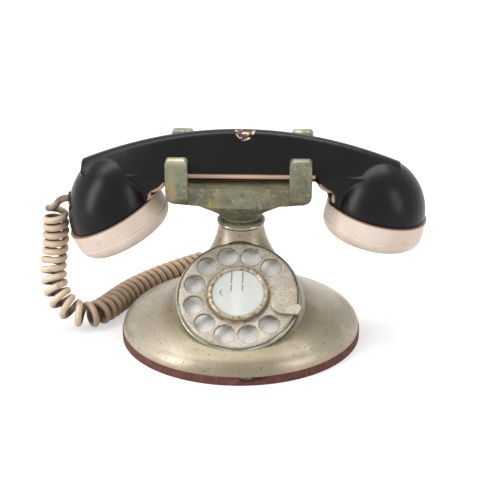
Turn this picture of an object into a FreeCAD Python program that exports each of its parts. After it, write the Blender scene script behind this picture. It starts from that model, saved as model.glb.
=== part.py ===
import FreeCAD, Part
import Sketcher
import math
import os
from FreeCAD import Vector, Placement, Rotation

# A rotary desk telephone: a cast base with a tilted dial, a forked cradle on its neck,
# a handset with two screwed caps and a curly cord from the handset to the back of the base.
# The origin is the middle of the foot, X runs to the right of someone dialling, Y to the
# back and Z up. Lengths are millimetres, angles degrees.

doc = FreeCAD.newDocument("desk_telephone")
sheet = doc.addObject("Spreadsheet::Sheet", "Sizes")


# A size carries its number and the sheet expression that it comes from, so that one sum
# gives both the drawing's value and the text that binds a dimension to the sheet.
class Size:
    def __init__(self, value, text):
        self.value = float(value)
        self.text = text

    def join(self, other, sign, value):
        return Size(value, "(" + self.text + sign + textOf(other) + ")")

    def __add__(self, other):
        return self.join(other, " + ", self.value + number(other))

    def __radd__(self, other):
        return asSize(other) + self

    def __sub__(self, other):
        return self.join(other, " - ", self.value - number(other))

    def __rsub__(self, other):
        return asSize(other) - self

    def __mul__(self, other):
        return self.join(other, " * ", self.value * number(other))

    def __rmul__(self, other):
        return asSize(other) * self

    def __truediv__(self, other):
        return self.join(other, " / ", self.value / number(other))

    def __neg__(self):
        return Size(-self.value, "(0 - " + self.text + ")")

    def __float__(self):
        return self.value


def number(thing):
    return thing.value if isinstance(thing, Size) else float(thing)


def textOf(thing):
    return thing.text if isinstance(thing, Size) else repr(float(thing))


def asSize(thing):
    return thing if isinstance(thing, Size) else Size(thing, repr(float(thing)))


sizeCount = 0


def size(alias, value):
    global sizeCount
    sizeCount += 1
    sheet.set("A%d" % sizeCount, alias)
    sheet.set("B%d" % sizeCount, str(value))
    sheet.setAlias("B%d" % sizeCount, alias)
    return Size(value, "Sizes." + alias)


# The foot and the cast housing
footWidth = size("foot_width", 151.6)
footDepth = size("foot_depth", 145.6)
padHeight = size("pad_height", 5.4)
padFloor = size("pad_floor", 1.2)
padSkirt = size("pad_skirt", 3.0)
padInset = size("pad_inset", 0.5)
plateSheet = size("plate_sheet", 1.0)
wall = size("housing_wall", 2.6)
shoulderRise = size("shoulder_rise", 3.1)
neckTop = size("neck_top", 69.5)
neckWidth = size("neck_width", 28.8)
neckDepth = size("neck_depth", 24.4)
neckBack = size("neck_setback", 15.0)
plungerBore = size("plunger_bore", 6.0)
bossRadius = size("screw_boss_radius", 4.2)
bossAcross = size("screw_boss_across", 94.0)
bossAlong = size("screw_boss_along", 74.0)
plateScrew = size("plate_screw_radius", 1.7)
screwHead = size("screw_head_radius", 3.0)
screwHeadDeep = size("screw_head_height", 1.4)

# The dial
dialForward = size("dial_forward", 30.0)
dialHeight = size("dial_height", 41.0)
dialTilt = size("dial_tilt", 54.0)
wheelRadius = size("wheel_radius", 36.9)
wheelSheet = size("wheel_sheet", 1.6)
wheelLip = size("wheel_lip", 3.0)
holeCount = 10
holeRadius = size("finger_hole_radius", 6.3)
holeCircle = size("finger_hole_circle", 28.3)
firstHole = size("first_hole_angle", 45.0)
holeStep = size("finger_hole_step", 30.0)
ringRadius = size("ring_radius", 38.9)
ringWall = size("ring_wall", 0.9)
ringTop = size("ring_top_below_wheel", 2.2)
ringFoot = size("ring_foot_below_wheel", 8.0)
ringFlange = size("ring_flange_width", 5.0)
flangeThick = size("ring_flange_thickness", 1.6)
plateRecess = size("number_plate_thickness", 0.8)
cardRingOuter = size("card_ring_radius", 18.9)
cardRingInner = size("card_window_radius", 16.1)
cardRingHigh = size("card_ring_height", 3.4)
cardThick = size("card_thickness", 0.3)
windowThick = size("window_thickness", 0.8)
stopThick = size("stop_thickness", 1.4)
stopRise = size("stop_over_wheel", 0.9)
frameRadius = size("frame_radius", 37.0)
clampCircle = size("clamp_screw_circle", 35.2)
clampShank = size("clamp_screw_radius", 1.1)
clampHead = size("clamp_head_radius", 2.0)
mechanismBore = size("mechanism_bore", 31.6)
frameThick = size("frame_thickness", 1.5)
backRadius = size("back_plate_radius", 26.5)
backThick = size("back_plate_thickness", 1.2)
gearRoom = size("mechanism_room", 9.1)
shaftRadius = size("main_shaft_radius", 2.5)
shaftPlay = size("shaft_play", 0.05)
bushWall = size("bush_wall", 2.0)
pillarRadius = size("pillar_radius", 1.8)
pillarCircle = size("pillar_circle", 23.6)
mainTeeth = 60
pinionTeeth = 20
wheelTeeth = 48
governorTeeth = 12
mainModule = size("main_gear_module", 0.5)
fineModule = size("fine_gear_module", 0.4)
gearThick = size("gear_thickness", 1.2)
barrelRadius = size("spring_barrel_radius", 9.6)
barrelHigh = size("spring_barrel_height", 4.4)
springTurns = 5
cupRadius = size("governor_cup_radius", 8.8)
cupHigh = size("governor_cup_height", 2.6)
arborRadius = size("arbor_radius", 0.8)

# The cradle and its switch
cradleHalf = size("cradle_half_width", 45.2)
prongWide = size("prong_width", 13.7)
prongThick = size("prong_thickness", 8.0)
prongGap = size("prong_gap", 44.0)
prongTop = size("prong_top", 124.0)
prongFoot = size("prong_foot", 94.2)
saddleTop = size("saddle_top", 104.0)
saddleInset = size("saddle_inset", 3.6)
stemWidth = size("stem_width", 26.4)
stemDepth = size("stem_depth", 22.4)
flareWide = size("flare_width", 55.0)
flareDeep = size("flare_depth", 54.0)
collarHigh = size("collar_height", 2.6)
collarWidth = size("collar_width", 30.4)
cradleFoot = size("cradle_foot_height", 2.8)
plungerRadius = size("plunger_radius", 2.0)
plungerLong = size("plunger_pad_length", 19.0)
plungerWide = size("plunger_pad_width", 8.0)
plungerPad = size("plunger_pad_height", 6.0)
plungerFoot = size("plunger_foot", 29.0)
springSeat = size("spring_seat", 82.7)
springRadius = size("spring_radius", 3.5)

# The handset
gripWidth = size("grip_width", 34.0)
gripBottom = size("grip_bottom", 104.3)
gripBevel = size("grip_bevel", 3.2)
ridgeTop = size("ridge_top", 133.6)
ridgeHalf = size("ridge_half_width", 4.6)
ridgeShoulder = size("ridge_shoulder", 1.6)
cornerAcross = size("handset_corner", 100.2)
cornerHeight = size("handset_corner_height", 112.7)
capRadius = size("cap_radius", 32.0)
capHigh = size("cap_height", 20.0)
capWall = size("cap_wall", 2.4)
capRound = size("cap_round", 8.5)
grooveHigh = size("cap_groove", 10.4)
shellRadius = size("shell_radius", 30.7)
mouthDome = size("mouth_dome_height", 35.5)
earDome = size("ear_dome_height", 32.5)
domeWall = size("dome_wall", 3.0)
mouthTilt = size("mouth_cap_tilt", 28.3)
mouthAcross = size("mouth_cap_across", 80.8)
mouthHeight = size("mouth_cap_height", 78.8)
earTilt = size("ear_cap_tilt", 13.0)
earAcross = size("ear_cap_across", 86.1)
earHeight = size("ear_cap_height", 82.1)
capsuleRadius = size("capsule_radius", 25.5)

# The curly cord
wireRadius = size("cord_wire_radius", 2.2)
coilRadius = size("coil_mean_radius", 6.5)
coilPitch = size("coil_pitch", 5.3)
cordTail = size("cord_tail", 34.0)
doc.recompute()

subParts = {}


def keep(label, thing):
    thing.Label = label
    subParts[label] = thing
    return thing


def bind(thing, **sizes):
    for name, value in sizes.items():
        thing.setExpression(name, textOf(value))
    return thing


def at(x=0.0, y=0.0, z=0.0, turn=None):
    return Placement(Vector(number(x), number(y), number(z)), turn or Rotation())


def about(axis, angle):
    return Rotation(axis, number(angle))


xAxis = Vector(1, 0, 0)
yAxis = Vector(0, 1, 0)
zAxis = Vector(0, 0, 1)


# The frame of each tilted group: the dial's, with Z out of its face, and the two caps',
# with Z out of the handset through the cap's face.
dialFrame = at(0, -dialForward, dialHeight, about(xAxis, 90 - number(dialTilt)))
cradleY = neckBack
mouthFrame = at(-mouthAcross, cradleY, mouthHeight, about(yAxis, 180 - number(mouthTilt)))
earFrame = at(earAcross, cradleY, earHeight, about(yAxis, 180 + number(earTilt)))


def sketchOn(body, role, name, offset=None):
    plane = [one for one in body.Origin.OriginFeatures if one.Role == role][0]
    sketch = body.newObject("Sketcher::SketchObject", name)
    sketch.AttachmentSupport = [(plane, "")]
    sketch.MapMode = "FlatFace"
    if offset is not None:
        sketch.AttachmentOffset = offset
    return sketch


def fixAlong(sketch, kind, edge, end, value):
    if number(value) == 0.0:
        axis = -2 if kind == "DistanceX" else -1
        sketch.addConstraint(Sketcher.Constraint("PointOnObject", edge, end, axis))
        return
    index = sketch.addConstraint(Sketcher.Constraint(kind, -1, 1, edge, end, number(value)))
    if isinstance(value, Size):
        sketch.setExpression("Constraints[%d]" % index, value.text)


# A closed outline through corners, each an (x, y) pair of sizes. A side named in arcs is
# an arc of the given radius, bulging to the right of its direction of travel where the
# radius is positive, and to the left where it is negative.
def outline(sketch, corners, arcs=None):
    arcs = arcs or {}
    count = len(corners)
    ends = []
    edges = []
    for side in range(count):
        start = Vector(number(corners[side][0]), number(corners[side][1]), 0)
        stop = Vector(number(corners[(side + 1) % count][0]), number(corners[(side + 1) % count][1]), 0)
        if side not in arcs:
            edges.append(sketch.addGeometry(Part.LineSegment(start, stop), False))
            ends.append((1, 2))
            continue
        radius = abs(number(arcs[side]))
        toRight = number(arcs[side]) > 0
        chord = stop - start
        height = math.sqrt(max(radius * radius - chord.Length * chord.Length / 4.0, 0.0))
        left = Vector(-chord.y, chord.x, 0) / chord.Length
        centre = (start + stop) / 2.0 + left * (height if toRight else -height)
        circle = Part.Circle(centre, zAxis, radius)
        first = math.atan2(start.y - centre.y, start.x - centre.x)
        last = math.atan2(stop.y - centre.y, stop.x - centre.x)
        if toRight:
            edges.append(sketch.addGeometry(Part.ArcOfCircle(circle, first, last), False))
            ends.append((1, 2))
        else:
            edges.append(sketch.addGeometry(Part.ArcOfCircle(circle, last, first), False))
            ends.append((2, 1))
    for side in range(count):
        after = (side + 1) % count
        sketch.addConstraint(Sketcher.Constraint("Coincident", edges[side], ends[side][1],
                                                 edges[after], ends[after][0]))
    for side in range(count):
        fixAlong(sketch, "DistanceX", edges[side], ends[side][0], corners[side][0])
        fixAlong(sketch, "DistanceY", edges[side], ends[side][0], corners[side][1])
    for side, radius in arcs.items():
        index = sketch.addConstraint(Sketcher.Constraint("Radius", edges[side], abs(number(radius))))
        if isinstance(radius, Size):
            positive = radius.text if radius.value > 0 else (-radius).text
            sketch.setExpression("Constraints[%d]" % index, positive)
    return sketch


def ring(sketch, x, y, radius):
    edge = sketch.addGeometry(Part.Circle(Vector(number(x), number(y), 0), zAxis, number(radius)), False)
    if number(x) == 0.0 and number(y) == 0.0:
        sketch.addConstraint(Sketcher.Constraint("Coincident", edge, 3, -1, 1))
    else:
        fixAlong(sketch, "DistanceX", edge, 3, x)
        fixAlong(sketch, "DistanceY", edge, 3, y)
    index = sketch.addConstraint(Sketcher.Constraint("Radius", edge, number(radius)))
    if isinstance(radius, Size):
        sketch.setExpression("Constraints[%d]" % index, radius.text)
    return edge


def newBody(label, place=None):
    body = doc.addObject("PartDesign::Body", label)
    if place is not None:
        body.Placement = place
    return keep(label, body)


# A round piece turned about its own Z axis from a half outline in (radius, height).
def turned(label, corners, arcs=None, place=None):
    body = newBody(label, place)
    sketch = outline(sketchOn(body, "XZ_Plane", label + "_profile"), corners, arcs)
    turn = body.newObject("PartDesign::Revolution", label + "_turn")
    turn.Profile = sketch
    turn.ReferenceAxis = (sketch, ["V_Axis"])
    turn.Angle = 360.0
    return body


def drilled(body, name, spots, radius):
    sketch = sketchOn(body, "XY_Plane", name)
    for x, y, height in spots:
        ring(sketch, x, y, radius)
    return pocketOf(body, sketch, name + "_cut")


def padOf(body, sketch, length, name, mid=False):
    pad = body.newObject("PartDesign::Pad", name)
    pad.Profile = sketch
    if mid:
        pad.Midplane = True
    bind(pad, Length=length)
    return pad


def pocketOf(body, sketch, name):
    pocket = body.newObject("PartDesign::Pocket", name)
    pocket.Profile = sketch
    pocket.Type = 1
    pocket.Midplane = True
    return pocket


def cylinder(name, radius, height, place=None):
    thing = bind(doc.addObject("Part::Cylinder", name), Radius=radius, Height=height)
    if place is not None:
        thing.Placement = place
    return thing


def block(name, length, width, height, place=None):
    thing = bind(doc.addObject("Part::Box", name), Length=length, Width=width, Height=height)
    if place is not None:
        thing.Placement = place
    return thing


def cut(name, base, tool):
    thing = doc.addObject("Part::Cut", name)
    thing.Base = base
    thing.Tool = tool
    thing.Refine = False
    return thing


def fuse(name, shapes):
    thing = doc.addObject("Part::MultiFuse", name)
    thing.Shapes = shapes
    thing.Refine = False
    return thing


def group(name, shapes):
    thing = doc.addObject("Part::Compound", name)
    thing.Links = shapes
    return thing


# A stack of upright ellipses, skinned into one smooth solid. Each level is (height,
# half width, half depth, distance back).
def skin(name, levels):
    sections = []
    for index, (height, halfWide, halfDeep, back) in enumerate(levels):
        section = doc.addObject("Part::Ellipse", "%s_section_%d" % (name, index))
        if number(halfDeep) > number(halfWide):
            bind(section, MajorRadius=halfDeep, MinorRadius=halfWide)
            section.Placement = at(0, back, height, about(zAxis, 90))
        else:
            bind(section, MajorRadius=halfWide, MinorRadius=halfDeep)
            section.Placement = at(0, back, height)
        sections.append(section)
    loft = doc.addObject("Part::Loft", name)
    loft.Sections = sections
    loft.Solid = True
    loft.Ruled = False
    return loft


# The housing's outside follows the foot's outline over the shoulder and narrows up the
# neck, which stands behind the middle. The shares say how far each level has narrowed
# from the shoulder to the neck.
shoulderZ = padHeight + shoulderRise
neckRise = neckTop - shoulderZ
levelShares = ((0.057, 0.964, 0.0), (0.123, 0.860, 0.013), (0.197, 0.713, 0.067), (0.303, 0.514, 0.2),
               (0.418, 0.357, 0.4), (0.549, 0.225, 0.613), (0.713, 0.103, 0.84), (0.861, 0.033, 0.973))


def housingLevels(inset):
    halfWide = footWidth / 2 - padInset - inset
    halfDeep = footDepth / 2 - padInset - inset
    neckHalf = neckWidth / 2 - inset
    neckHalfDeep = neckDepth / 2 - inset
    levels = [(padHeight, halfWide, halfDeep, 0), (shoulderZ, halfWide - 0.3, halfDeep - 0.3, 0)]
    for rise, spread, back in levelShares:
        levels.append((shoulderZ + neckRise * rise, neckHalf + (halfWide - neckHalf) * spread,
                       neckHalfDeep + (halfDeep - neckHalfDeep) * spread, neckBack * back))
    levels.append((neckTop, neckHalf, neckHalfDeep, neckBack))
    return levels


screwSpots = [(sideX * bossAcross / 2, sideY * bossAlong / 2) for sideX in (-1, 1) for sideY in (-1, 1)]


# The boss that carries the dial rises out of the slope and flares into it.
def dialBoss():
    body = doc.addObject("PartDesign::Body", "dial_boss")
    body.Placement = dialFrame
    edge = ringRadius + 0.4
    corners = [(0, -ringTop - 3.2), (edge, -ringTop - 3.2), (edge + 0.4, -ringFoot), (edge + 2.4, -ringFoot - 10),
               (edge + 2.4, -ringFoot - 22), (0, -ringFoot - 22)]
    sketch = outline(sketchOn(body, "XZ_Plane", "boss_profile"), corners, {2: Size(-20.0, "(-20.0)")})
    turn = body.newObject("PartDesign::Revolution", "boss_turn")
    turn.Profile = sketch
    turn.ReferenceAxis = (sketch, ["V_Axis"])
    turn.Angle = 360.0
    return body


frameTop = ringFoot + 0.2
backTop = frameTop + frameThick + gearRoom
boreDepth = backTop + backThick + 3.0
ledgeBottom = frameTop + frameThick + wall
hollowTop = shoulderZ + neckRise * 0.52
clampAngles = (75.0, 195.0, 315.0)


# The places of the screws that clamp the ring and the frame to the housing's ledge.
def clampSpots(height):
    return [(clampCircle * math.cos(math.radians(angle)), clampCircle * math.sin(math.radians(angle)), height)
            for angle in clampAngles]


def bossHollow():
    body = doc.addObject("PartDesign::Body", "boss_hollow")
    body.Placement = dialFrame
    corners = [(0, -boreDepth - 4), (mechanismBore + 0.5, -boreDepth - 4), (mechanismBore + 0.5, -ledgeBottom - 4.3),
               (ringRadius - 1.2, -ledgeBottom), (0, -ledgeBottom)]
    sketch = outline(sketchOn(body, "XZ_Plane", "boss_hollow_profile"), corners)
    turn = body.newObject("PartDesign::Revolution", "boss_hollow_turn")
    turn.Profile = sketch
    turn.ReferenceAxis = (sketch, ["V_Axis"])
    turn.Angle = 360.0
    return body


def screwPosts(name, radius, bottom, top):
    return [cylinder("%s_%d" % (name, index), radius, top - bottom, at(x, y, bottom))
            for index, (x, y) in enumerate(screwSpots)]


def housing():
    levels = [(height - wall * 0.8, halfWide, halfDeep, back)
              for height, halfWide, halfDeep, back in housingLevels(wall * 0.9)]
    opened = fuse("skin_and_boss", [skin("housing_skin", housingLevels(Size(0, "0"))), dialBoss()])
    hollow = cut("housing_hollow", skin("housing_inside", levels), block("neck_kept", 80, 80, 60, at(-40, -40, hollowTop)))
    tools = [hollow, block("below_foot", 200, 200, padHeight + 20, at(-100, -100, -20)),
             bossHollow(),
             cylinder("dial_seat", ringRadius + 0.1, ringFoot + 0.2, dialFrame * at(0, 0, -ringFoot - 0.2)),
             cylinder("frame_seat", frameRadius + 0.1, frameThick + 1, dialFrame * at(0, 0, -frameTop - frameThick)),
             cylinder("dial_bore", mechanismBore, boreDepth, dialFrame * at(0, 0, -boreDepth)),
             cylinder("plunger_guide_bore", plungerBore / 2 + 2.0, neckTop, at(0, neckBack, 20)),
             cylinder("cord_exit", wireRadius + 2.0, 20,
                      at(0, footDepth / 2 - 14, cordExitZ, about(xAxis, -90)))]
    tools += [cylinder("clamp_hole_%d" % index, clampShank + 0.05, Size(12, "12"), dialFrame * at(*place))
              for index, place in enumerate(clampSpots(-ledgeBottom - 1))]
    tools += [cylinder("clamp_pocket_%d" % index, clampHead + 0.3, Size(4, "4"), dialFrame * at(*place))
              for index, place in enumerate(clampSpots(-ledgeBottom - 4))]
    for tool in tools:
        opened = cut("without_" + tool.Name, opened, tool)
    posts = doc.addObject("Part::MultiCommon", "screw_bosses")
    posts.Shapes = [fuse("boss_bars", screwPosts("boss_bar", bossRadius, plateTop + 0.05, Size(30, "30"))),
                    skin("boss_limit", housingLevels(Size(0.6, "0.6")))]
    drills = screwPosts("boss_drill", plateScrew - 0.1, padFloor, padHeight + 6)
    doc.recompute()
    casting = doc.addObject("Part::Feature", "housing")
    casting.Shape = largest(largest(opened.Shape).fuse(posts.Shape.Solids)).cut([one.Shape for one in drills])
    return keep("base_housing", casting)


def largest(shape):
    return max(shape.Solids, key=lambda solid: solid.Volume)


# The steel pan closes the bottom and is turned up inside the pad's skirt.
def basePlate():
    outer = skin("plate_outer", panLevels(padSkirt + padInset, padFloor, padHeight - 0.1))
    inner = skin("plate_inner", panLevels(padSkirt + padInset + plateSheet, plateTop, padHeight + 1))
    holes = screwPosts("plate_hole", plateScrew + 0.2, Size(0, "0"), padHeight)
    return keep("base_plate", cut("base_pan", outer, fuse("pan_tools", [inner] + holes)))


def panLevels(inset, low, high):
    return [(height, footWidth / 2 - inset, footDepth / 2 - inset, 0) for height in (low, high)]


# The pad's front edge is torn: a shallow bite out of it shows the steel pan behind.
def padTear():
    bite = [(1.8, 1.0), (2.2, -1.2), (3.6, -2.7), (7.0, -3.5), (11.0, -3.3), (15.0, -2.4), (19.0, -1.2), (22.0, 0.2),
            (22.0, 1.0)]
    body = doc.addObject("PartDesign::Body", "pad_tear")
    padOf(body, outline(sketchOn(body, "XZ_Plane", "pad_tear_outline"), bite), 8, "pad_tear_pad", True)
    body.Placement = at(0, -footDepth / 2, padHeight)
    return body


def basePad():
    outer = skin("pad_outer", panLevels(Size(0, "0"), Size(0, "0"), padHeight - 0.05))
    inner = skin("pad_inner", panLevels(padSkirt + padInset - 0.2, padFloor - 0.05, padHeight + 1))
    heads = screwPosts("pad_relief", screwHead + 0.3, Size(0.4, "0.4"), padFloor + 1)
    return keep("base_pad", cut("leather_pad", outer, fuse("pad_tools", [inner, padTear()] + heads)))


def plateScrews():
    shanks = screwPosts("plate_screw_shank", plateScrew - 0.15, padFloor - 0.3, padHeight + 5)
    heads = screwPosts("plate_screw_head", screwHead, Size(0.5, "0.5"), padFloor - 0.05)
    screws = [fuse("plate_screw_%d" % index, [shanks[index], heads[index]]) for index in range(4)]
    return keep("base_plate_screws", group("plate_screw_set", screws))


plateTop = padFloor + plateSheet
cordExitZ = padHeight + 5.2

housing()
basePlate()
basePad()
plateScrews()


# The dial's parts are measured down from the top of the finger wheel.
def dialPlace(height=0.0, x=0.0, y=0.0, turn=None):
    return dialFrame * at(x, y, height, turn)


def fingerWheel():
    corners = [(shaftRadius + 0.02, -wheelSheet), (wheelRadius - 1.2, -wheelSheet), (wheelRadius - 1.2, -wheelLip),
               (wheelRadius, -wheelLip), (wheelRadius, -1.2), (wheelRadius - 1.2, 0),
               (shaftRadius + 0.02, 0)]
    body = turned("finger_wheel", corners, {4: 1.2}, dialPlace())
    cutSketch = sketchOn(body, "XY_Plane", "finger_holes")
    start = math.radians(number(firstHole))
    ring(cutSketch, holeCircle * math.cos(start), holeCircle * math.sin(start), holeRadius)
    pocket = pocketOf(body, cutSketch, "finger_hole")
    doc.recompute()
    pattern = body.newObject("PartDesign::PolarPattern", "finger_hole_pattern")
    pattern.Originals = [pocket]
    pattern.Axis = (cutSketch, ["N_Axis"])
    pattern.Angle = number(holeStep) * (holeCount - 1)
    pattern.Occurrences = holeCount
    body.Tip = pattern
    return body


fingerWheel()


def tube(name, outer, inner, low, high, place=None):
    corners = [(inner, low), (outer, low), (outer, high), (inner, high)]
    return turned(name, corners, None, place)


ringInner = ringRadius - ringWall
plateSeat = -ringFoot + flangeThick


def dialFace():
    turned("dial_ring", [(ringRadius - ringFlange, -ringFoot), (ringRadius, -ringFoot), (ringRadius, -ringTop - 0.5),
                         (ringRadius - 0.5, -ringTop), (ringInner, -ringTop), (ringInner, plateSeat),
                         (ringRadius - ringFlange, plateSeat)], {2: 0.5}, dialPlace())
    drilled(subParts["dial_ring"], "dial_ring_holes", clampSpots(0), clampShank)
    tube("number_plate", ringInner - 0.1, shaftRadius + bushWall + 2, plateSeat, plateSeat + plateRecess, dialPlace())
    turned("card_ring", [(cardRingInner, 0), (cardRingOuter, 0), (cardRingOuter, cardRingHigh - 1.2),
                         (cardRingOuter - 1.2, cardRingHigh), (cardRingInner + 0.8, cardRingHigh),
                         (cardRingInner, cardRingHigh - 0.8)], {2: 1.2}, dialPlace())
    tube("card_pan", cardRingInner - 0.05, shaftRadius + 2.6, 0, cardBase, dialPlace())
    turned("dial_card", [(0, cardBase), (cardRingInner - 0.1, cardBase), (cardRingInner - 0.1, cardBase + cardThick),
                         (0, cardBase + cardThick)], None, dialPlace())
    windowLow = cardBase + cardThick
    turned("card_window", [(0, windowLow), (cardRingInner - 0.05, windowLow),
                           (cardRingInner - 0.05, windowLow + windowThick), (0, windowLow + windowThick)],
           None, dialPlace())


cardBase = wheelSheet


# The finger stop is a bent tongue: its foot is on the ring's rim and its claw reaches in
# over the wheel, almost to the card ring.
def fingerStop():
    low = stopRise
    tongue = [(20.4, -7.6), (22.4, -11.0), (26.0, -13.3), (30.5, -13.9), (36.9, -14.1), (37.9, -13.0), (39.6, -8.8),
              (38.0, -7.4), (32.0, -6.0), (25.0, -5.4)]
    corners = [(Size(x, repr(x)), Size(y, repr(y))) for x, y in tongue]
    claw = newBody("finger_stop", dialPlace())
    offset = Placement(Vector(0, 0, number(low)), Rotation())
    padOf(claw, outline(sketchOn(claw, "XY_Plane", "stop_claw", offset), corners), stopThick, "stop_claw_pad")
    foot = [(ringRadius - 1.75, -12.6), (ringRadius - 0.9, -12.8), (ringRadius + 0.4, -9.2), (ringRadius - 0.9, -9.2)]
    footLow = ringTop + 0.9
    footOffset = Placement(Vector(0, 0, -number(footLow)), Rotation())
    padOf(claw, outline(sketchOn(claw, "XY_Plane", "stop_foot", footOffset), foot), footLow + stopRise + 0.2,
          "stop_foot_pad")
    return claw


dialFace()
fingerStop()


# A gear blank with straight-sided teeth, thin enough to leave backlash where it meshes.
def gear(label, teeth, module, thickness, bore, place, half=0.0):
    tip = number(module) * (teeth / 2.0 + 0.7)
    root = number(module) * (teeth / 2.0 - 0.95)
    step = 360.0 / teeth
    corners = []
    for tooth in range(teeth):
        middle = (tooth + half) * step
        for angle, radius in ((-0.27, root), (-0.10, tip), (0.10, tip), (0.27, root)):
            turn = math.radians(middle + angle * step)
            corners.append(Vector(radius * math.cos(turn), radius * math.sin(turn), 0))
    corners.append(corners[0])
    blank = Part.Face(Part.makePolygon(corners)).extrude(Vector(0, 0, number(thickness)))
    wheel = doc.addObject("Part::Feature", label)
    wheel.Shape = blank.cut(Part.makeCylinder(number(bore), number(thickness)))
    wheel.Placement = place
    return keep(label, wheel)


pinionDistance = mainModule * ((mainTeeth + pinionTeeth) / 2.0)
governorDistance = fineModule * ((wheelTeeth + governorTeeth) / 2.0)
pinionAngle = 150.0
governorOut = 20.6


# The governor's arbor stands where both its distances hold: from the middle of the dial
# and from the pinion's arbor.
def governorAngle():
    near, far = number(pinionDistance), governorOut
    turn = math.acos((near * near + far * far - number(governorDistance) ** 2) / (2 * near * far))
    return pinionAngle + math.degrees(turn)


def spot(distance, angle, height):
    return (number(distance) * math.cos(math.radians(angle)), number(distance) * math.sin(math.radians(angle)), height)


def arborPlace(which, height):
    distance, angle = (pinionDistance, pinionAngle) if which == "pinion" else (governorOut, governorAngle())
    x, y, z = spot(distance, angle, height)
    return dialPlace(z, x, y)


mechTop = -frameTop - frameThick
gearTop = mechTop - 1.7
fineTop = mechTop - 6.3
pivotSpots = [spot(pinionDistance, pinionAngle, 0)[:2], spot(governorOut, governorAngle(), 0)[:2]]
pillarAngles = (30.0, 90.0 + 15.0, 255.0)


def roundPlate(label, radius, thickness, top, bore):
    body = newBody(label, dialPlace(top - thickness))
    disc = sketchOn(body, "XY_Plane", label + "_disc")
    ring(disc, 0, 0, radius)
    padOf(body, disc, thickness, label + "_pad")
    holes = sketchOn(body, "XY_Plane", label + "_holes")
    ring(holes, 0, 0, bore)
    for x, y in pivotSpots:
        ring(holes, x, y, arborRadius + shaftPlay)
    pocketOf(body, holes, label + "_pivots")
    return body


def mechanism():
    frame = roundPlate("dial_frame", frameRadius, frameThick, -frameTop, shaftRadius + bushWall)
    drilled(frame, "dial_frame_clamps", clampSpots(0), clampShank + 0.05)
    screws = []
    for index, (x, y, height) in enumerate(clampSpots(0)):
        head = cylinder("clamp_head_%d" % index, clampHead, screwHeadDeep, dialPlace(-ledgeBottom - screwHeadDeep, x, y))
        shank = cylinder("clamp_shank_%d" % index, clampShank - 0.02, ledgeBottom + plateSeat - 0.1,
                         dialPlace(-ledgeBottom, x, y))
        screws.append(fuse("clamp_screw_%d" % index, [head, shank]))
    keep("dial_clamp_screws", group("clamp_screw_set", screws))
    roundPlate("mechanism_back_plate", backRadius, backThick, mechTop - gearRoom, shaftRadius + shaftPlay)
    tube("main_bush", shaftRadius + bushWall, shaftRadius + shaftPlay, -frameTop - frameThick - 0.8, -frameTop + 1.6,
         dialPlace())
    pillars = [cylinder("pillar_%d" % index, pillarRadius, gearRoom,
                        dialPlace(mechTop - gearRoom, *spot(pillarCircle, angle, 0)[:2]))
               for index, angle in enumerate(pillarAngles)]
    keep("mechanism_pillars", group("pillar_set", pillars))
    turned("main_shaft", [(0, mechTop - gearRoom - backThick - 0.8), (shaftRadius, mechTop - gearRoom - backThick - 0.8),
                          (shaftRadius, -wheelSheet - 1.6), (shaftRadius + 4, -wheelSheet - 1.6),
                          (shaftRadius + 4, -wheelSheet), (shaftRadius - 0.02, -wheelSheet), (shaftRadius - 0.02, 0.9),
                          (0, 0.9)], None, dialPlace())
    tube("wheel_nut", shaftRadius + 2.0, shaftRadius, 0.0, 0.9, dialPlace())
    gear("main_gear", mainTeeth, mainModule, gearThick, shaftRadius, dialPlace(gearTop - gearThick))
    mesh = pinionMesh(mainTeeth, pinionTeeth, pinionAngle)
    turnedPinion = Rotation(zAxis, mesh)
    x, y, z = spot(pinionDistance, pinionAngle, gearTop - gearThick)
    gear("impulse_pinion", pinionTeeth, mainModule, gearThick, arborRadius, dialPlace(z, x, y, turnedPinion))
    fine = dialPlace(fineTop - gearThick, x, y)
    gear("governor_wheel", wheelTeeth, fineModule, gearThick, arborRadius, fine)
    arbor("impulse_arbor", "pinion")


def arbor(label, which):
    low = mechTop - gearRoom - 1.0
    return keep(label, cylinder(label, arborRadius, mechTop + 1.0 - low, arborPlace(which, low)))


def pinionMesh(driver, driven, angle):
    driverPhase = (angle / (360.0 / driver)) % 1.0
    return angle + 180.0 + (0.5 + driverPhase) * 360.0 / driven


mechanism()


# A strip wound into a spiral of half circles, whose inner end is fixed to the shaft and
# whose outer end is fixed to the barrel.
def spiralStrip(label, inner, outer, turns, thick, low, high):
    step = (number(outer) - thick - number(inner)) / (2.0 * turns)

    def halves(extra, count):
        edges = []
        radius = number(inner) + extra
        start = radius
        centre = 0.0
        for index in range(count):
            side = 1 if index % 2 == 0 else -1
            stop = start - side * (2 * radius + step)
            middle = (start + stop) / 2.0
            half = abs(stop - start) / 2.0
            edges.append(Part.Arc(Vector(start, 0, 0), Vector(middle, half, 0) if side > 0
                                  else Vector(middle, -half, 0), Vector(stop, 0, 0)).toShape())
            start = stop
            radius = radius + step
        return edges, start

    first, firstEnd = halves(0.0, 2 * turns)
    second, secondEnd = halves(thick, 2 * turns)
    begin = number(inner)
    ends = [Part.makeLine(Vector(begin, 0, 0), Vector(begin + thick, 0, 0)),
            Part.makeLine(Vector(firstEnd, 0, 0), Vector(secondEnd, 0, 0))]
    face = Part.Face(Part.Wire(Part.__sortEdges__(first + second + ends)))
    strip = doc.addObject("Part::Feature", label)
    strip.Shape = face.extrude(Vector(0, 0, number(high) - number(low)))
    strip.Placement = dialPlace(low)
    return keep(label, strip)


barrelTop = gearTop - gearThick - 0.5
barrelBottom = barrelTop - barrelHigh
cupTop = gearTop - gearThick - 0.4


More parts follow.
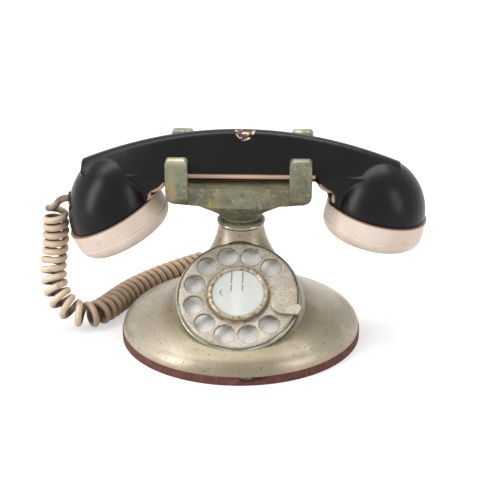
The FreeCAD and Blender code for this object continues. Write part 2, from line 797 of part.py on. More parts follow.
def springAndGovernor():
    turned("spring_barrel", [(shaftRadius + 0.2, barrelBottom), (barrelRadius, barrelBottom), (barrelRadius, barrelTop),
                             (barrelRadius - 0.7, barrelTop), (barrelRadius - 0.7, barrelBottom + 0.7),
                             (shaftRadius + 0.2, barrelBottom + 0.7)], None, dialPlace())
    tube("barrel_post", shaftRadius + 1.6, shaftRadius + 0.2, mechTop - gearRoom, barrelBottom, dialPlace())
    spiralStrip("return_spring", shaftRadius + 0.05, barrelRadius - 0.75, springTurns, 0.5, barrelBottom + 1.0,
                barrelTop - 0.2)
    x, y, z = spot(pinionDistance, pinionAngle, 0)
    lobes = []
    count = 3
    for lobe in range(count):
        lobes.append(cylinder("cam_lobe_%d" % lobe, Size(1.3, "1.3"), Size(0.8, "0.8"),
                              at(3.1 * math.cos(lobe * 2 * math.pi / count), 3.1 * math.sin(lobe * 2 * math.pi / count), 0)))
    disc = cylinder("cam_disc", Size(3.2, "3.2"), Size(0.8, "0.8"))
    hole = cylinder("cam_bore", arborRadius, Size(0.8, "0.8"))
    cam = cut("cam_cut", fuse("cam_blank", [disc] + lobes), hole)
    cam.Placement = dialPlace(mechTop - 1.3, x, y)
    keep("impulse_cam", cam)
    place = arborPlace("governor", 0)
    turned("governor_cup", [(arborRadius + 0.3, cupTop - cupHigh), (cupRadius, cupTop - cupHigh), (cupRadius, cupTop),
                            (cupRadius - 0.7, cupTop), (cupRadius - 0.7, cupTop - cupHigh + 0.5),
                            (arborRadius + 0.3, cupTop - cupHigh + 0.5)], None, place)
    aside = Rotation(zAxis, lineAngle()).multVec(Vector(7.0, 0, 0))
    keep("governor_cup_post", cylinder("cup_post", Size(1.2, "1.2"), cupTop - cupHigh - (mechTop - gearRoom),
                                       place * at(aside.x, aside.y, mechTop - gearRoom)))
    mesh = pinionMesh(wheelTeeth, governorTeeth, lineAngle())
    gear("governor_pinion", governorTeeth, fineModule, gearThick, arborRadius,
                     place * at(0, 0, fineTop - gearThick, Rotation(zAxis, mesh)))
    arbor("governor_arbor", "governor")
    halves = []
    for side in (0, 180):
        ringPart = cylinder("weight_ring_%d" % side, cupRadius - 1.3, Size(1.4, "1.4"))
        core = cylinder("weight_core_%d" % side, Size(4.2, "4.2"), Size(1.4, "1.4"))
        slot = block("weight_slot_%d" % side, 20, 1.2, 2, at(-10, -0.6, 0))
        away = block("weight_away_%d" % side, 20, 10, 2, at(-10, -10.5, 0))
        half = cut("weight_%d" % side, cut("weight_a_%d" % side, ringPart, core), fuse("weight_b_%d" % side, [slot, away]))
        half.Placement = place * at(0, 0, cupTop - 1.9, Rotation(zAxis, side + 30))
        halves.append(half)
    keep("governor_weights", group("weight_pair", halves))
    arm = block("weight_arm", 10.4, 2.6, 0.5, at(-5.2, -1.3, 0))
    armBore = cylinder("weight_arm_bore", arborRadius, Size(0.5, "0.5"))
    spring = cut("weight_arm_cut", arm, armBore)
    spring.Placement = place * at(0, 0, cupTop - 0.5, Rotation(zAxis, 120))
    keep("governor_arm", spring)


# The angle of the line from the pinion's arbor to the governor's.
def lineAngle():
    ax, ay, az = spot(pinionDistance, pinionAngle, 0)
    bx, by, bz = spot(governorOut, governorAngle(), 0)
    return math.degrees(math.atan2(by - ay, bx - ax))


springAndGovernor()


# Two leaf springs stand beside the cam, held between insulators on the frame.
def impulseContacts():
    x, y, z = spot(pinionDistance, pinionAngle, 0)
    blades = [block("impulse_blade_%d" % index, 19, 0.3, 1.1, dialPlace(mechTop - 1.4, x - 7, y + 5.0 + index * 1.3))
              for index in range(2)]
    keep("impulse_springs", group("impulse_blades", blades))
    blocks = [block("impulse_block_%d" % index, 5, wide, 1.35, dialPlace(mechTop - 1.4, x + 7, y + back))
              for index, (wide, back) in enumerate(((1.2, 3.75), (0.9, 5.35), (1.2, 6.65)))]
    keep("impulse_insulators", group("impulse_blocks", blocks))


impulseContacts()


# The neck's collar is a polished bead under the cradle's foot.
def neckCollar():
    high = collarHigh
    outer = [(0, neckWidth / 2, neckDepth / 2, 0), (high * 0.3, neckWidth / 2 + 0.3, neckDepth / 2 + 0.3, 0),
             (high * 0.75, neckWidth / 2 + 0.3, neckDepth / 2 + 0.3, 0), (high, neckWidth / 2 - 0.3, neckDepth / 2 - 0.3, 0)]
    bead = skin("collar_skin", outer)
    bore = cylinder("collar_bore", plungerBore / 2 + 2.0, high + 2, at(0, 0, -1))
    collar = cut("collar_cut", bead, bore)
    collar.Placement = at(0, neckBack, neckTop)
    return keep("neck_collar", collar)


cradleBase = neckTop + collarHigh


# Under the crossbar the stem opens out like a funnel, wide and hollow-sided from the front
# and fuller from the side, with its corners rounded.
def cradleFlare():
    stem, stemDeep = stemWidth / 2, stemDepth / 2
    low, high = cradleBase + 3.4, prongFoot - 1.9
    across, along = flareWide / 2, flareDeep / 2
    right = [(stem - 0.9, low), (across, high), (across, prongFoot + 0.8)]
    back = [(stemDeep - 0.7, low), (along, high), (along, prongFoot + 0.8)]
    left = [(-x, z) for x, z in reversed(right)]
    front = [(-y, z) for y, z in reversed(back)]
    levels = [(low, stem - 1.7, stemDeep - 1.4), (low + 4.6, stem + 2.6, stemDeep + 7.6), (low + 8.6, stem + 5.8, stemDeep + 14.6),
              (low + 12.6, stem + 11.4, stemDeep + 21.0), (prongFoot + 0.8, across + 13.0, along + 13.0)]
    shape = doc.addObject("Part::MultiCommon", "cradle_flare")
    shape.Shapes = [crossing("flare_front", "XZ_Plane", right, left, {0: Size(-18.0, "(0 - 18.0)")}, 80),
                    crossing("flare_side", "YZ_Plane", back, front, {0: Size(40.0, "40.0")}, 120),
                    skin("flare_round", [level + (cradleY,) for level in levels])]
    shape.Refine = False
    return shape


# The cradle is where a front outline and a side outline meet, on a round stem with a foot.
def cradleSolid():
    half = cradleHalf
    inner = half - prongWide
    under = prongFoot
    right = [(27.0, under - 1.9), (inner + 5.5, under), (half - 7.0, under), (half, under + 7.0),
             (half, prongTop - 3.5), (half - 3.5, prongTop), (inner + 3.5, prongTop), (inner, prongTop - 3.5),
             (inner, saddleTop + 3.0), (inner - 3.0, saddleTop)]
    left = [(-x, z) for x, z in reversed(right)]
    arcs = {2: Size(7.0, "7.0"), 4: Size(3.5, "3.5"), 6: Size(3.5, "3.5"), 8: Size(-3.0, "(0 - 3.0)")}
    body = crossing("cradle_front", "XZ_Plane", right, left, arcs, 80)
    deep = prongGap / 2 + prongThick
    gap = prongGap / 2
    back = [(deep - 8, under - 3.0), (deep, under + 5.0), (deep, prongTop - 3.0), (deep - 3.0, prongTop),
            (gap + 3.0, prongTop), (gap, prongTop - 3.0), (gap, saddleTop + 4.0), (gap - 4.0, saddleTop)]
    front = [(-y, z) for y, z in reversed(back)]
    sides = {0: Size(9.0, "9.0"), 2: Size(3.0, "3.0"), 4: Size(3.0, "3.0"), 6: Size(-4.0, "(0 - 4.0)")}
    profile = crossing("cradle_side", "YZ_Plane", back, front, sides, 120)
    fork = doc.addObject("Part::MultiCommon", "cradle_fork")
    fork.Shapes = [body, profile]
    fork.Refine = False
    foot, footDeep = collarWidth / 2, collarWidth / 2 - 2.2
    stem, stemDeep = stemWidth / 2, stemDepth / 2
    rim, top = cradleBase + cradleFoot - 1.2, cradleBase + cradleFoot
    levels = [(cradleBase, stem, stemDeep), (cradleBase + 4, stem - 0.3, stemDeep), (94.0, stem - 0.3, stemDeep)]
    pieces = [fork, cradleFlare(), skin("cradle_stem", [level + (cradleY,) for level in levels]),
              skin("cradle_foot", [(cradleBase, foot, footDeep, cradleY), (rim, foot, footDeep, cradleY)]),
              skin("cradle_foot_edge", [(rim, foot, footDeep, cradleY), (top, foot - 1.2, footDeep - 1.2, cradleY)])]
    recess = [block("saddle_recess_%d" % index, 2 * inner, saddleInset, 40,
                    at(-inner, cradleY + y, under - 20))
              for index, y in enumerate((-deep, deep - saddleInset))]
    bore = cylinder("cradle_bore", plungerRadius + shaftPlay, 60, at(0, cradleY, cradleBase - 2))
    springWell = cylinder("spring_well", springRadius + 0.5, saddleTop - springSeat, at(0, cradleY, springSeat))
    pocket = block("plunger_pocket", plungerLong + 0.6, plungerWide + 0.6, plungerPad + 10,
                   at(-plungerLong / 2 - 0.3, cradleY - plungerWide / 2 - 0.3, saddleTop - plungerPad - 0.3))
    return keep("cradle", cut("cradle_cut", fuse("cradle_solid", pieces),
                              fuse("cradle_tools", recess + [bore, springWell, pocket])))


# Half an outline, the other half mirrored, with the same arcs on both.
def crossing(name, role, half, mirrored, arcs, length):
    count = len(half)
    both = dict(arcs)
    for side, radius in arcs.items():
        both[2 * count - 2 - side] = radius
    body = doc.addObject("PartDesign::Body", name)
    padOf(body, outline(sketchOn(body, role, name + "_outline"), half + mirrored, both), length, name + "_pad", True)
    body.Placement = at(0, cradleY, 0)
    return body


def plunger():
    pad = block("plunger_bar", plungerLong, plungerWide, plungerPad - 0.1,
                at(-plungerLong / 2, cradleY - plungerWide / 2, saddleTop - plungerPad))
    rod = cylinder("plunger_rod", plungerRadius, saddleTop - plungerPad - plungerFoot + 1, at(0, cradleY, plungerFoot))
    stop = cylinder("plunger_collar", plungerRadius + 1.8, Size(1.2, "1.2"), at(0, cradleY, plungerFoot + 6))
    keep("hook_plunger", fuse("plunger_solid", [pad, rod, stop]))
    tall = saddleTop - plungerPad - springSeat
    coil = cylinder("spring_outer", springRadius, tall, at(0, cradleY, springSeat))
    hole = cylinder("spring_inner", plungerRadius + 0.4, tall + 2, at(0, cradleY, springSeat - 1))
    keep("plunger_spring", cut("spring_cut", coil, hole))
    tube("plunger_bush", plungerBore / 2 + 2.0 - 0.02, plungerRadius + shaftPlay, neckTop - 12, neckTop,
         at(0, cradleY, 0))


neckCollar()
cradleSolid()
plunger()


# The hook switch: a bracket on the pan, a rocking lever under the plunger and a pile of
# contact leaves that the lever's heel presses together.
def hookSwitch():
    y = neckBack
    leg = block("bracket_leg", 14, 1.2, pivotZ + 4 - plateTop, at(-19, y + 10, plateTop))
    foot = block("bracket_foot", 14, 9, 1.2, at(-19, y + 10, plateTop))
    hole = cylinder("bracket_hole", Size(1.05, "1.05"), 30, at(-12, y + 20, pivotZ, about(xAxis, 90)))
    keep("switch_bracket", cut("bracket_cut", fuse("bracket", [leg, foot]), hole))
    keep("switch_pivot", cylinder("switch_pin", Size(1.0, "1.0"), 15.0, at(-12, y + 11.4, pivotZ, about(xAxis, 90))))
    arm = block("lever_arm", 16.0, 5.0, 1.6, at(-13, y - 2.5, pivotZ + 2.2))
    eye = cylinder("lever_eye", Size(3.0, "3.0"), 5.0, at(-12, y + 2.5, pivotZ, about(xAxis, 90)))
    heel = block("lever_heel", 12.0, 5.0, 1.4, at(-25, y - 2.5, pivotZ - 0.7))
    pin = cylinder("lever_bore", Size(1.05, "1.05"), 30, at(-12, y + 15, pivotZ, about(xAxis, 90)))
    keep("hook_lever", cut("lever_cut", fuse("lever", [arm, eye, heel]), pin))
    leafTop = pivotZ - 6.3
    leafPitch = 2.2
    piles = [(plateTop, leafTop - 3 * leafPitch - plateTop)]
    piles += [(leafTop - index * leafPitch + 0.35, leafPitch - 0.35) for index in (3, 2, 1, 0)]
    leaves = [block("switch_leaf_%d" % index, 16.0, 4.0, 0.35, at(-38, y - 2, leafTop - index * leafPitch))
              for index in range(4)]
    keep("switch_springs", group("switch_leaves", leaves))
    stack = [block("switch_block_%d" % index, 7.0, 7.0, tall, at(-38, y - 3.5, bottom))
             for index, (bottom, tall) in enumerate(piles)]
    keep("switch_insulators", group("switch_blocks", stack))


pivotZ = plungerFoot - 4.2

hookSwitch()


def terminals():
    strip = block("terminal_bar", 42, 9, 6, at(-2, 30, plateTop))
    keep("terminal_strip", strip)
    screws = []
    for index in range(5):
        x = 2.6 + index * 8.2
        head = cylinder("terminal_head_%d" % index, Size(2.4, "2.4"), Size(1.4, "1.4"), at(x, 34.5, plateTop + 6))
        screws.append(head)
    keep("terminal_screws", group("terminal_screw_set", screws))
    keep("cord_grommet", cut("grommet_cut", fuse("grommet_solid", [
        cylinder("grommet_neck", wireRadius + 1.95, 8.0, at(0, grommetFace - 9.0, cordExitZ, about(xAxis, -90))),
        cylinder("grommet_lip", wireRadius + 3.2, 1.6, at(0, grommetFace - 1.6, cordExitZ, about(xAxis, -90)))]),
        cylinder("grommet_bore", wireRadius + 0.05, 40, at(0, footDepth / 2 - 30, cordExitZ, about(xAxis, -90)))))


grommetFace = footDepth / 2 + 1.6

terminals()


# The handset's grip is a ridged bar through many cross-sections, and each end is a dome
# with a threaded neck for its cap.
gripTaper = 6.0


def gripSection(body, x):
    half = gripWidth / 2
    drop = (ridgeTop - cornerHeight) * (x * x) / (number(cornerAcross) * number(cornerAcross))
    top = ridgeTop - drop
    waist = half - gripTaper * abs(x / number(cornerAcross)) ** 5
    corners = [(-(waist - gripBevel), gripBottom), (waist - gripBevel, gripBottom), (waist, gripBottom + gripBevel + 0.5),
               (ridgeHalf, top - ridgeShoulder), (-ridgeHalf, top - ridgeShoulder), (-waist, gripBottom + gripBevel + 0.5)]
    sketch = sketchOn(body, "YZ_Plane", "grip_section_%d" % int(x + 200), Placement(Vector(0, 0, x), Rotation()))
    bulge = (ridgeHalf * ridgeHalf + ridgeShoulder * ridgeShoulder) / (ridgeShoulder * 2)
    return outline(sketch, corners, {3: bulge})


def grip():
    body = doc.addObject("PartDesign::Body", "grip_bar")
    reach = number(cornerAcross)
    count = 8
    stations = [reach * (2.0 * index / count - 1.0) for index in range(count + 1)]
    sections = [gripSection(body, x) for x in stations]
    loft = body.newObject("PartDesign::AdditiveLoft", "grip_loft")
    loft.Profile = sections[0]
    loft.Sections = sections[1:]
    loft.Ruled = False
    body.Placement = at(0, cradleY, 0)
    return body


seamTurn = 90.0
domeShares = (0.0, 0.21, 0.42, 0.61, 0.76, 0.87, 0.94, 0.985)


# Half an egg on a round foot. Its top leans towards the grip's middle by a share of its height.
def dome(name, frame, high, lean):
    levels = [(-high * share, shellRadius * math.sqrt(1 - share * share), shellRadius * math.sqrt(1 - share * share),
               high * share * lean) for share in domeShares]
    egg = skin(name, levels)
    for section in egg.Sections:
        section.Placement = frame * at(0, 0, 0, about(zAxis, seamTurn)) * section.Placement
    return egg


# The web under each end of the grip. Its inner corner is round, and its front and back edges
# are bevelled as the grip's are.
def web(name, inner, bend, low, outer):
    body = doc.addObject("PartDesign::Body", name)
    side = 1 if number(inner) > 0 else -1
    high = gripBottom + gripBevel + 0.75
    half = gripWidth / 2
    sections = []
    for index, (out, edge, spread) in enumerate(((-half, high - 0.25, gripBevel), (gripBevel - half, gripBottom, 0.0),
                                                 (half - gripBevel, gripBottom, 0.0), (half, high - 0.25, gripBevel))):
        reach = inner + side * (bend + spread)
        foot = gripBottom - bend
        corners = [(inner, high), (inner, edge), (reach, foot), (reach + side * 2.0, low), (outer, low), (outer, high)]
        radius = (edge - foot) * 1.02
        sketch = sketchOn(body, "XZ_Plane", "%s_section_%d" % (name, index), Placement(Vector(0, 0, number(out)), Rotation()))
        sections.append(outline(sketch, corners, {1: -radius if side < 0 else radius}))
    loft = body.newObject("PartDesign::AdditiveLoft", name + "_loft")
    loft.Profile = sections[0]
    loft.Sections = sections[1:]
    loft.Ruled = True
    body.Placement = at(0, cradleY, 0)
    return body


def handsetBody():
    pieces = [grip(), dome("mouth_dome", mouthFrame, mouthDome, 0.2), dome("ear_dome", earFrame, earDome, -0.06),
              web("mouth_web", Size(-45.5, "(0 - 45.5)"), 7.0, Size(86.0, "86.0"), Size(-74.0, "(0 - 74.0)")),
              web("ear_web", Size(48.3, "48.3"), 6.0, Size(82.0, "82.0"), Size(76.0, "76.0"))]
    solid = fuse("handset_solid", pieces)
    for name, frame in (("mouth", mouthFrame), ("ear", earFrame)):
        solid = cut(name + "_trimmed", solid, block(name + "_below", 72, 100, 60, frame * at(-36, -50, 0)))
        solid = fuse(name + "_necked", [solid, cylinder(name + "_thread", capRadius - capWall - 0.2, capHigh * 0.4,
                                                        frame * at(0, 0, -1))])
        solid = cut(name + "_hollow", solid, fuse(name + "_cavities", [
            cylinder(name + "_seat", capsuleRadius + 0.3, capHigh + 5, frame * at(0, 0, -4.8)),
            cylinder(name + "_well", capsuleRadius - 5, Size(20, "20"), frame * at(0, 0, -16)),
            cylinder(name + "_duct", Size(4, "4"), Size(30, "30"), frame * at(0, 0, -31))]))
    ductZ = number(gripBottom) + 5.2
    duct = cylinder("wire_duct", Size(3.2, "3.2"), Size(180, "180"), at(-92, cradleY, ductZ, about(yAxis, 90)))
    solid = cut("handset_ducted", solid, duct)
    hole = cylinder("bushing_hole", wireRadius + 2.0, Size(22, "22"), at(-112, cradleY, cordHigh, about(yAxis, 90)))
    return keep("handset_body", cut("handset", solid, hole))


cordHigh = 86.2
cordOut = -109.4


def caps():
    for name, frame, spread, count in (("transmitter", mouthFrame, 9.0, 8), ("receiver", earFrame, 6.0, 6)):
        inner = capRadius - capWall
        body = turned(name + "_cap", [(inner, 0.05), (capRadius, 0.05), (capRadius, grooveHigh),
                                      (capRadius - 0.4, grooveHigh + 0.3), (capRadius - 0.1, grooveHigh + 0.8),
                                      (capRadius, capHigh - capRound), (capRadius - capRound, capHigh), (0, capHigh),
                                      (0, capHigh - capWall), (inner - 2.5, capHigh - capWall),
                                      (inner, capHigh - capWall - 2.5)],
                      {5: capRound}, frame)
        drill = sketchOn(body, "XY_Plane", name + "_cap_holes")
        ring(drill, Size(spread, repr(spread)), 0, Size(1.5, "1.5"))
        pocket = pocketOf(body, drill, name + "_cap_hole")
        doc.recompute()
        pattern = body.newObject("PartDesign::PolarPattern", name + "_cap_pattern")
        pattern.Originals = [pocket]
        pattern.Axis = (drill, ["N_Axis"])
        pattern.Angle = 360.0
        pattern.Occurrences = count
        body.Tip = pattern
        face = capHigh - capWall - 0.3
        turned(name + "_capsule", [(0, -4.6), (capsuleRadius, -4.6), (capsuleRadius, face - 2), (capsuleRadius - 2, face),
                                   (0, face)], None, frame)
        tube(name + "_contact", Size(9, "9"), Size(6, "6"), Size(-10, "(0 - 10)"), Size(-4.65, "(0 - 4.65)"), frame)
    bush = cut("bushing_cut", cylinder("bushing_solid", wireRadius + 1.95, 9.0,
                                       at(cordOut, cradleY, cordHigh, about(yAxis, 90))),
               cylinder("bushing_bore", wireRadius + 0.05, 40, at(cordOut - 10, cradleY, cordHigh, about(yAxis, 90))))
    keep("cord_bushing", bush)


handsetBody()
caps()


# The route of the curly cord's middle line, from the mouth end of the handset down to the
# table and round the left side of the foot to the grommet at the back.
coilRest = coilRadius + wireRadius
cordRoute = [(cordOut, number(cradleY), cordHigh), (cordOut - 5.5, number(cradleY), cordHigh - 0.3),
             (-118.8, 15.2, 80.0), (-118.6, 15.0, 67.0), (-119.4, 14.4, 53.0), (-121.4, 12.0, 40.0),
             (-120.4, 7.4, 28.0), (-115.0, 2.6, 18.0), (-105.6, 0.2, 11.6), (-95.8, 3.8, 9.1),
             (-88.6, 14.0, 8.8), (-82.0, 28.0, 8.8), (-74.6, 41.8, 8.8), (-64.5, 55.0, 8.8),
             (-52.5, 67.5, 8.8), (-39.5, 79.5, 8.8), (-26.0, 90.0, 8.8), (-13.0, 95.0, 9.2),
             (-3.0, 91.0, 10.0), (0, number(grommetFace) + 6.0, number(cordExitZ)),
             (0, number(grommetFace), number(cordExitZ))]


# Points along a smooth curve through the route, about a quarter of a millimetre apart.
def smoothRoute(points):
    stops = [Vector(*point) for point in points]
    stops = [stops[0] * 2 - stops[1]] + stops + [stops[-1] * 2 - stops[-2]]
    line = []
    for index in range(1, len(stops) - 2):
        before, start, stop, after = stops[index - 1:index + 3]
        steps = max(int((stop - start).Length * 4), 4)
        for step in range(steps):
            t = step / steps
            line.append((start * 2 + (stop - before) * t + (before * 2 - start * 5 + stop * 4 - after) * t * t
                         + (start * 3 - before - stop * 3 + after) * t * t * t) * 0.5)
    line.append(stops[-2])
    return line


# The wire's own line winds round the route. It leaves each end straight, widens to the
# full coil within one turn and keeps a steady pitch.
def windCord():
    line = smoothRoute(cordRoute)
    along = [0.0]
    for index in range(1, len(line)):
        along.append(along[-1] + (line[index] - line[index - 1]).Length)
    total = along[-1]
    lead = 2 * number(wireRadius) + 0.2
    ramp = 14.0
    tangents = [(line[min(index + 1, len(line) - 1)] - line[max(index - 1, 0)]).normalize() for index in range(len(line))]
    side = Vector(0, -1, 0)
    frames = []
    for tangent in tangents:
        side = (side - tangent * side.dot(tangent)).normalize()
        frames.append((Vector(side), tangent.cross(side)))
    tail = number(cordTail)

    def growth(distance):
        inward = min(max((distance - lead) / ramp, 0.0), 1.0)
        outward = min(max((total - tail - distance) / ramp, 0.0), 1.0)
        return min(inward * inward * (3 - 2 * inward), outward * outward * (3 - 2 * outward))

    turns = [0.0]
    for index in range(1, len(line)):
        around = max(index - 24, 0), min(index + 24, len(line) - 1)
        bend = tangents[around[0]].getAngle(tangents[around[1]]) / max(along[around[1]] - along[around[0]], 1e-9)
        pitch = number(coilPitch) / max(1.0 - bend * number(coilRadius) * 1.05, 0.25)
        step = along[index] - along[index - 1]
        turns.append(turns[-1] + step / pitch * min(growth(along[index]) * 1.3, 1.0))

    def where(distance):
        low, high = 0, len(along) - 1
        while high - low > 1:
            index = (low + high) // 2
            if along[index] <= distance:
                low = index
            else:
                high = index
        share = (distance - along[low]) / max(along[high] - along[low], 1e-9)
        middle = line[low] + (line[high] - line[low]) * share
        first = frames[low][0] + (frames[high][0] - frames[low][0]) * share
        second = frames[low][1] + (frames[high][1] - frames[low][1]) * share
        turn = 2 * math.pi * (turns[low] + (turns[high] - turns[low]) * share)
        return middle + (first * math.cos(turn) + second * math.sin(turn)) * (number(coilRadius) * growth(distance))

    # The stations stand a quarter turn apart along the coil.
    quarter = 0.25
    stations = [lead]
    for index in range(1, len(line)):
        while turns[index] >= quarter and along[index] < total - lead:
            share = (quarter - turns[index - 1]) / max(turns[index] - turns[index - 1], 1e-9)
            stations.append(along[index - 1] + (along[index] - along[index - 1]) * share)
            quarter += 0.25
    end = total - lead
    rest = end - stations[-1]
    pieces = max(int(rest / 6.0), 1)
    if rest / pieces < 2.0:
        stations.pop()
        rest = end - stations[-1]
    stations += [end - rest * (pieces - 1 - index) / pieces for index in range(pieces)]
    print("coil turns", round(turns[-1], 1))
    return where, stations, total


def arcBetween(start, tangent, stop):
    chord = stop - start
    across = tangent - chord * (tangent.dot(chord) / chord.dot(chord))
    if across.Length < 1e-6:
        return Part.makeLine(start, stop)
    bend = tangent.getAngle(chord)
    middle = (start + stop) / 2.0 + across.normalize() * (chord.Length / 2.0 * math.tan(bend / 2.0))
    return Part.Arc(start, middle, stop).toShape()


# Two arcs that leave one point and reach the next along the given directions.
def biarc(start, startWay, stop, stopWay):
    chord = stop - start
    ways = startWay + stopWay
    spread = 2.0 * (1.0 - startWay.dot(stopWay))
    reach = chord.dot(ways)
    if spread < 1e-9:
        length = chord.dot(chord) / (2.0 * reach)
    else:
        length = (-reach + math.sqrt(reach * reach + spread * chord.dot(chord))) / spread
    joint = (start + startWay * length + stop - stopWay * length) / 2.0
    jointWay = (stop - stopWay * length) - (start + startWay * length)
    return [arcBetween(start, startWay, joint), arcBetween(joint, jointWay.normalize(), stop)]


def curlyCord():
    where, stations, total = windCord()
    points = [where(station) for station in stations]
    ways = [(where(station + 0.02) - where(station - 0.02)).normalize() for station in stations]
    first, last = where(0.0), where(total)
    ways[0] = (points[0] - first).normalize()
    ways[-1] = (last - points[-1]).normalize()
    edges = [Part.makeLine(first, points[0])]
    for index in range(len(stations) - 1):
        edges += biarc(points[index], ways[index], points[index + 1], ways[index + 1])
    edges.append(Part.makeLine(points[-1], last))
    path = Part.Wire(edges)
    profile = Part.Wire(Part.makeCircle(number(wireRadius), first, ways[0]))
    cord = doc.addObject("Part::Feature", "curly_cord_solid")
    cord.Shape = path.makePipeShell([profile], True, False)
    keep("curly_cord", cord)
    radii = [edge.Curve.Radius for edge in path.Edges if hasattr(edge.Curve, "Radius")]
    expected = math.pi * number(wireRadius) ** 2 * path.Length
    print("cord line", round(path.Length, 1), "mm, route", round(total, 1), "mm, smallest arc radius",
          round(min(radii), 2), "mm, volume over section times length", round(cord.Shape.Volume / expected, 4))
    print("least gap of the cord to itself", round(leastGap(path), 2), "mm")


# The least gap between stretches of the cord that are over a third of a turn apart.
def leastGap(path):
    samples = path.discretize(Distance=0.8)
    apart = 18
    cell = 3 * number(wireRadius)
    cells = {}
    for index, point in enumerate(samples):
        cells.setdefault((int(point.x // cell), int(point.y // cell), int(point.z // cell)), []).append(index)
    nearest = 1e9
    for (x, y, z), members in cells.items():
        around = [other for dx in (-1, 0, 1) for dy in (-1, 0, 1) for dz in (-1, 0, 1)
                  for other in cells.get((x + dx, y + dy, z + dz), ())]
        for one in members:
            for other in around:
                if other - one > apart:
                    nearest = min(nearest, (samples[one] - samples[other]).Length)
    return nearest - 2 * number(wireRadius)


curlyCord()


def finish():
    doc.recompute()
    faults = []
    for thing in doc.Objects:
        if "Invalid" in thing.State or "Error" in thing.State:
            faults.append("%s %s" % (thing.Name, thing.State))
    for name, thing in subParts.items():
        if thing.Shape.isNull() or not thing.Shape.isValid():
            faults.append(name + " has no valid shape")
    if faults:
        raise RuntimeError("; ".join(faults))
    os.makedirs("parts", exist_ok=True)
    for name, thing in subParts.items():
        thing.Shape.exportStep("parts/%s.step" % name)
        print(name, len(thing.Shape.Solids), "solids", round(thing.Shape.Volume), "mm3")


finish()
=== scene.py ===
import bpy, bmesh, math
import numpy as np
from mathutils import Vector, Matrix


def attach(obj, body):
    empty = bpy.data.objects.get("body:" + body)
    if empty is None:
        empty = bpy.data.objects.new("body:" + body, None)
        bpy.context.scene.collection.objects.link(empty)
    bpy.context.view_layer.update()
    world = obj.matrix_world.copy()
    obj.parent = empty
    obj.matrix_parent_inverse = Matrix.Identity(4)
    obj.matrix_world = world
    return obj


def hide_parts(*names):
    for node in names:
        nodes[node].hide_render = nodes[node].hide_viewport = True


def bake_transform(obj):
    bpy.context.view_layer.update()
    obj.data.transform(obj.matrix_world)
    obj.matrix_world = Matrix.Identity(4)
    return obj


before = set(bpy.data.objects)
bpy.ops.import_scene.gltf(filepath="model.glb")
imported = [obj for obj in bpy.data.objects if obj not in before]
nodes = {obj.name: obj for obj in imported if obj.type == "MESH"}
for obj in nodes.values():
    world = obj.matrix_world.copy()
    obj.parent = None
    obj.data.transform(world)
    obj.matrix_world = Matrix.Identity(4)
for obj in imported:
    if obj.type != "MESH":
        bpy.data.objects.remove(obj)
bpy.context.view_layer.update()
mm = 0.001

# Places that several pieces share, in millimetres and degrees. The dial's own frame has its
# middle on top of the finger wheel and leans back.
dial = {"centre": (0.0, -30.0, 41.0), "lean": 36.0, "holeStep": 30.0, "holes": 10, "holeCircle": 28.3,
        "wheelRadius": 36.9}


def linear(code):  # sRGB hex to the linear colour that Blender works in
    parts = [int(code[i:i + 2], 16) / 255 for i in (1, 3, 5)]
    return tuple(v / 12.92 if v <= 0.04045 else ((v + 0.055) / 1.055) ** 2.4 for v in parts) + (1.0,)


def feed(tree, socket, value):  # an input takes another node's output or a plain value
    if isinstance(value, bpy.types.NodeSocket):
        tree.links.new(value, socket)
    else:
        socket.default_value = value


def addNode(tree, kind, inputs=None, **settings):  # one node, with its settings, values and links
    made = tree.nodes.new(kind)
    for key, value in settings.items():
        setattr(made, key, value)
    for key, value in (inputs or {}).items():
        feed(tree, made.inputs[key], value)
    return made


def fade(tree, value, start, end, unit=mm):  # 0 as far as start, 1 from end on, whichever is higher
    ends = {"Value": value, "From Min": start * unit, "From Max": end * unit}
    return addNode(tree, "ShaderNodeMapRange", ends, interpolation_type="SMOOTHSTEP").outputs[0]


def overlap(tree, *masks):  # what all of the masks cover
    total = masks[0]
    for mask in masks[1:]:
        total = addNode(tree, "ShaderNodeMath", {0: total, 1: mask}, operation="MULTIPLY").outputs[0]
    return total


def merged(tree, *masks):  # what any of the masks covers
    total = masks[0]
    for mask in masks[1:]:
        total = addNode(tree, "ShaderNodeMath", {0: total, 1: mask}, operation="MAXIMUM").outputs[0]
    return total


# A mask, 0 to 1, from noise of a real size
def speckle(tree, place, sizeMm, low, high, detail=2.0, stretch=None):
    if stretch:
        place = addNode(tree, "ShaderNodeMapping", {"Vector": place, "Scale": stretch}).outputs[0]
    noise = addNode(tree, "ShaderNodeTexNoise", {"Vector": place, "Scale": 1 / mm / sizeMm, "Detail": detail})
    return fade(tree, noise.outputs["Fac"], low, high, 1.0)


def spots(*sizes, **more):  # a speckle as a finish's layer takes it
    return lambda tree, place: speckle(tree, place, *sizes, **more)


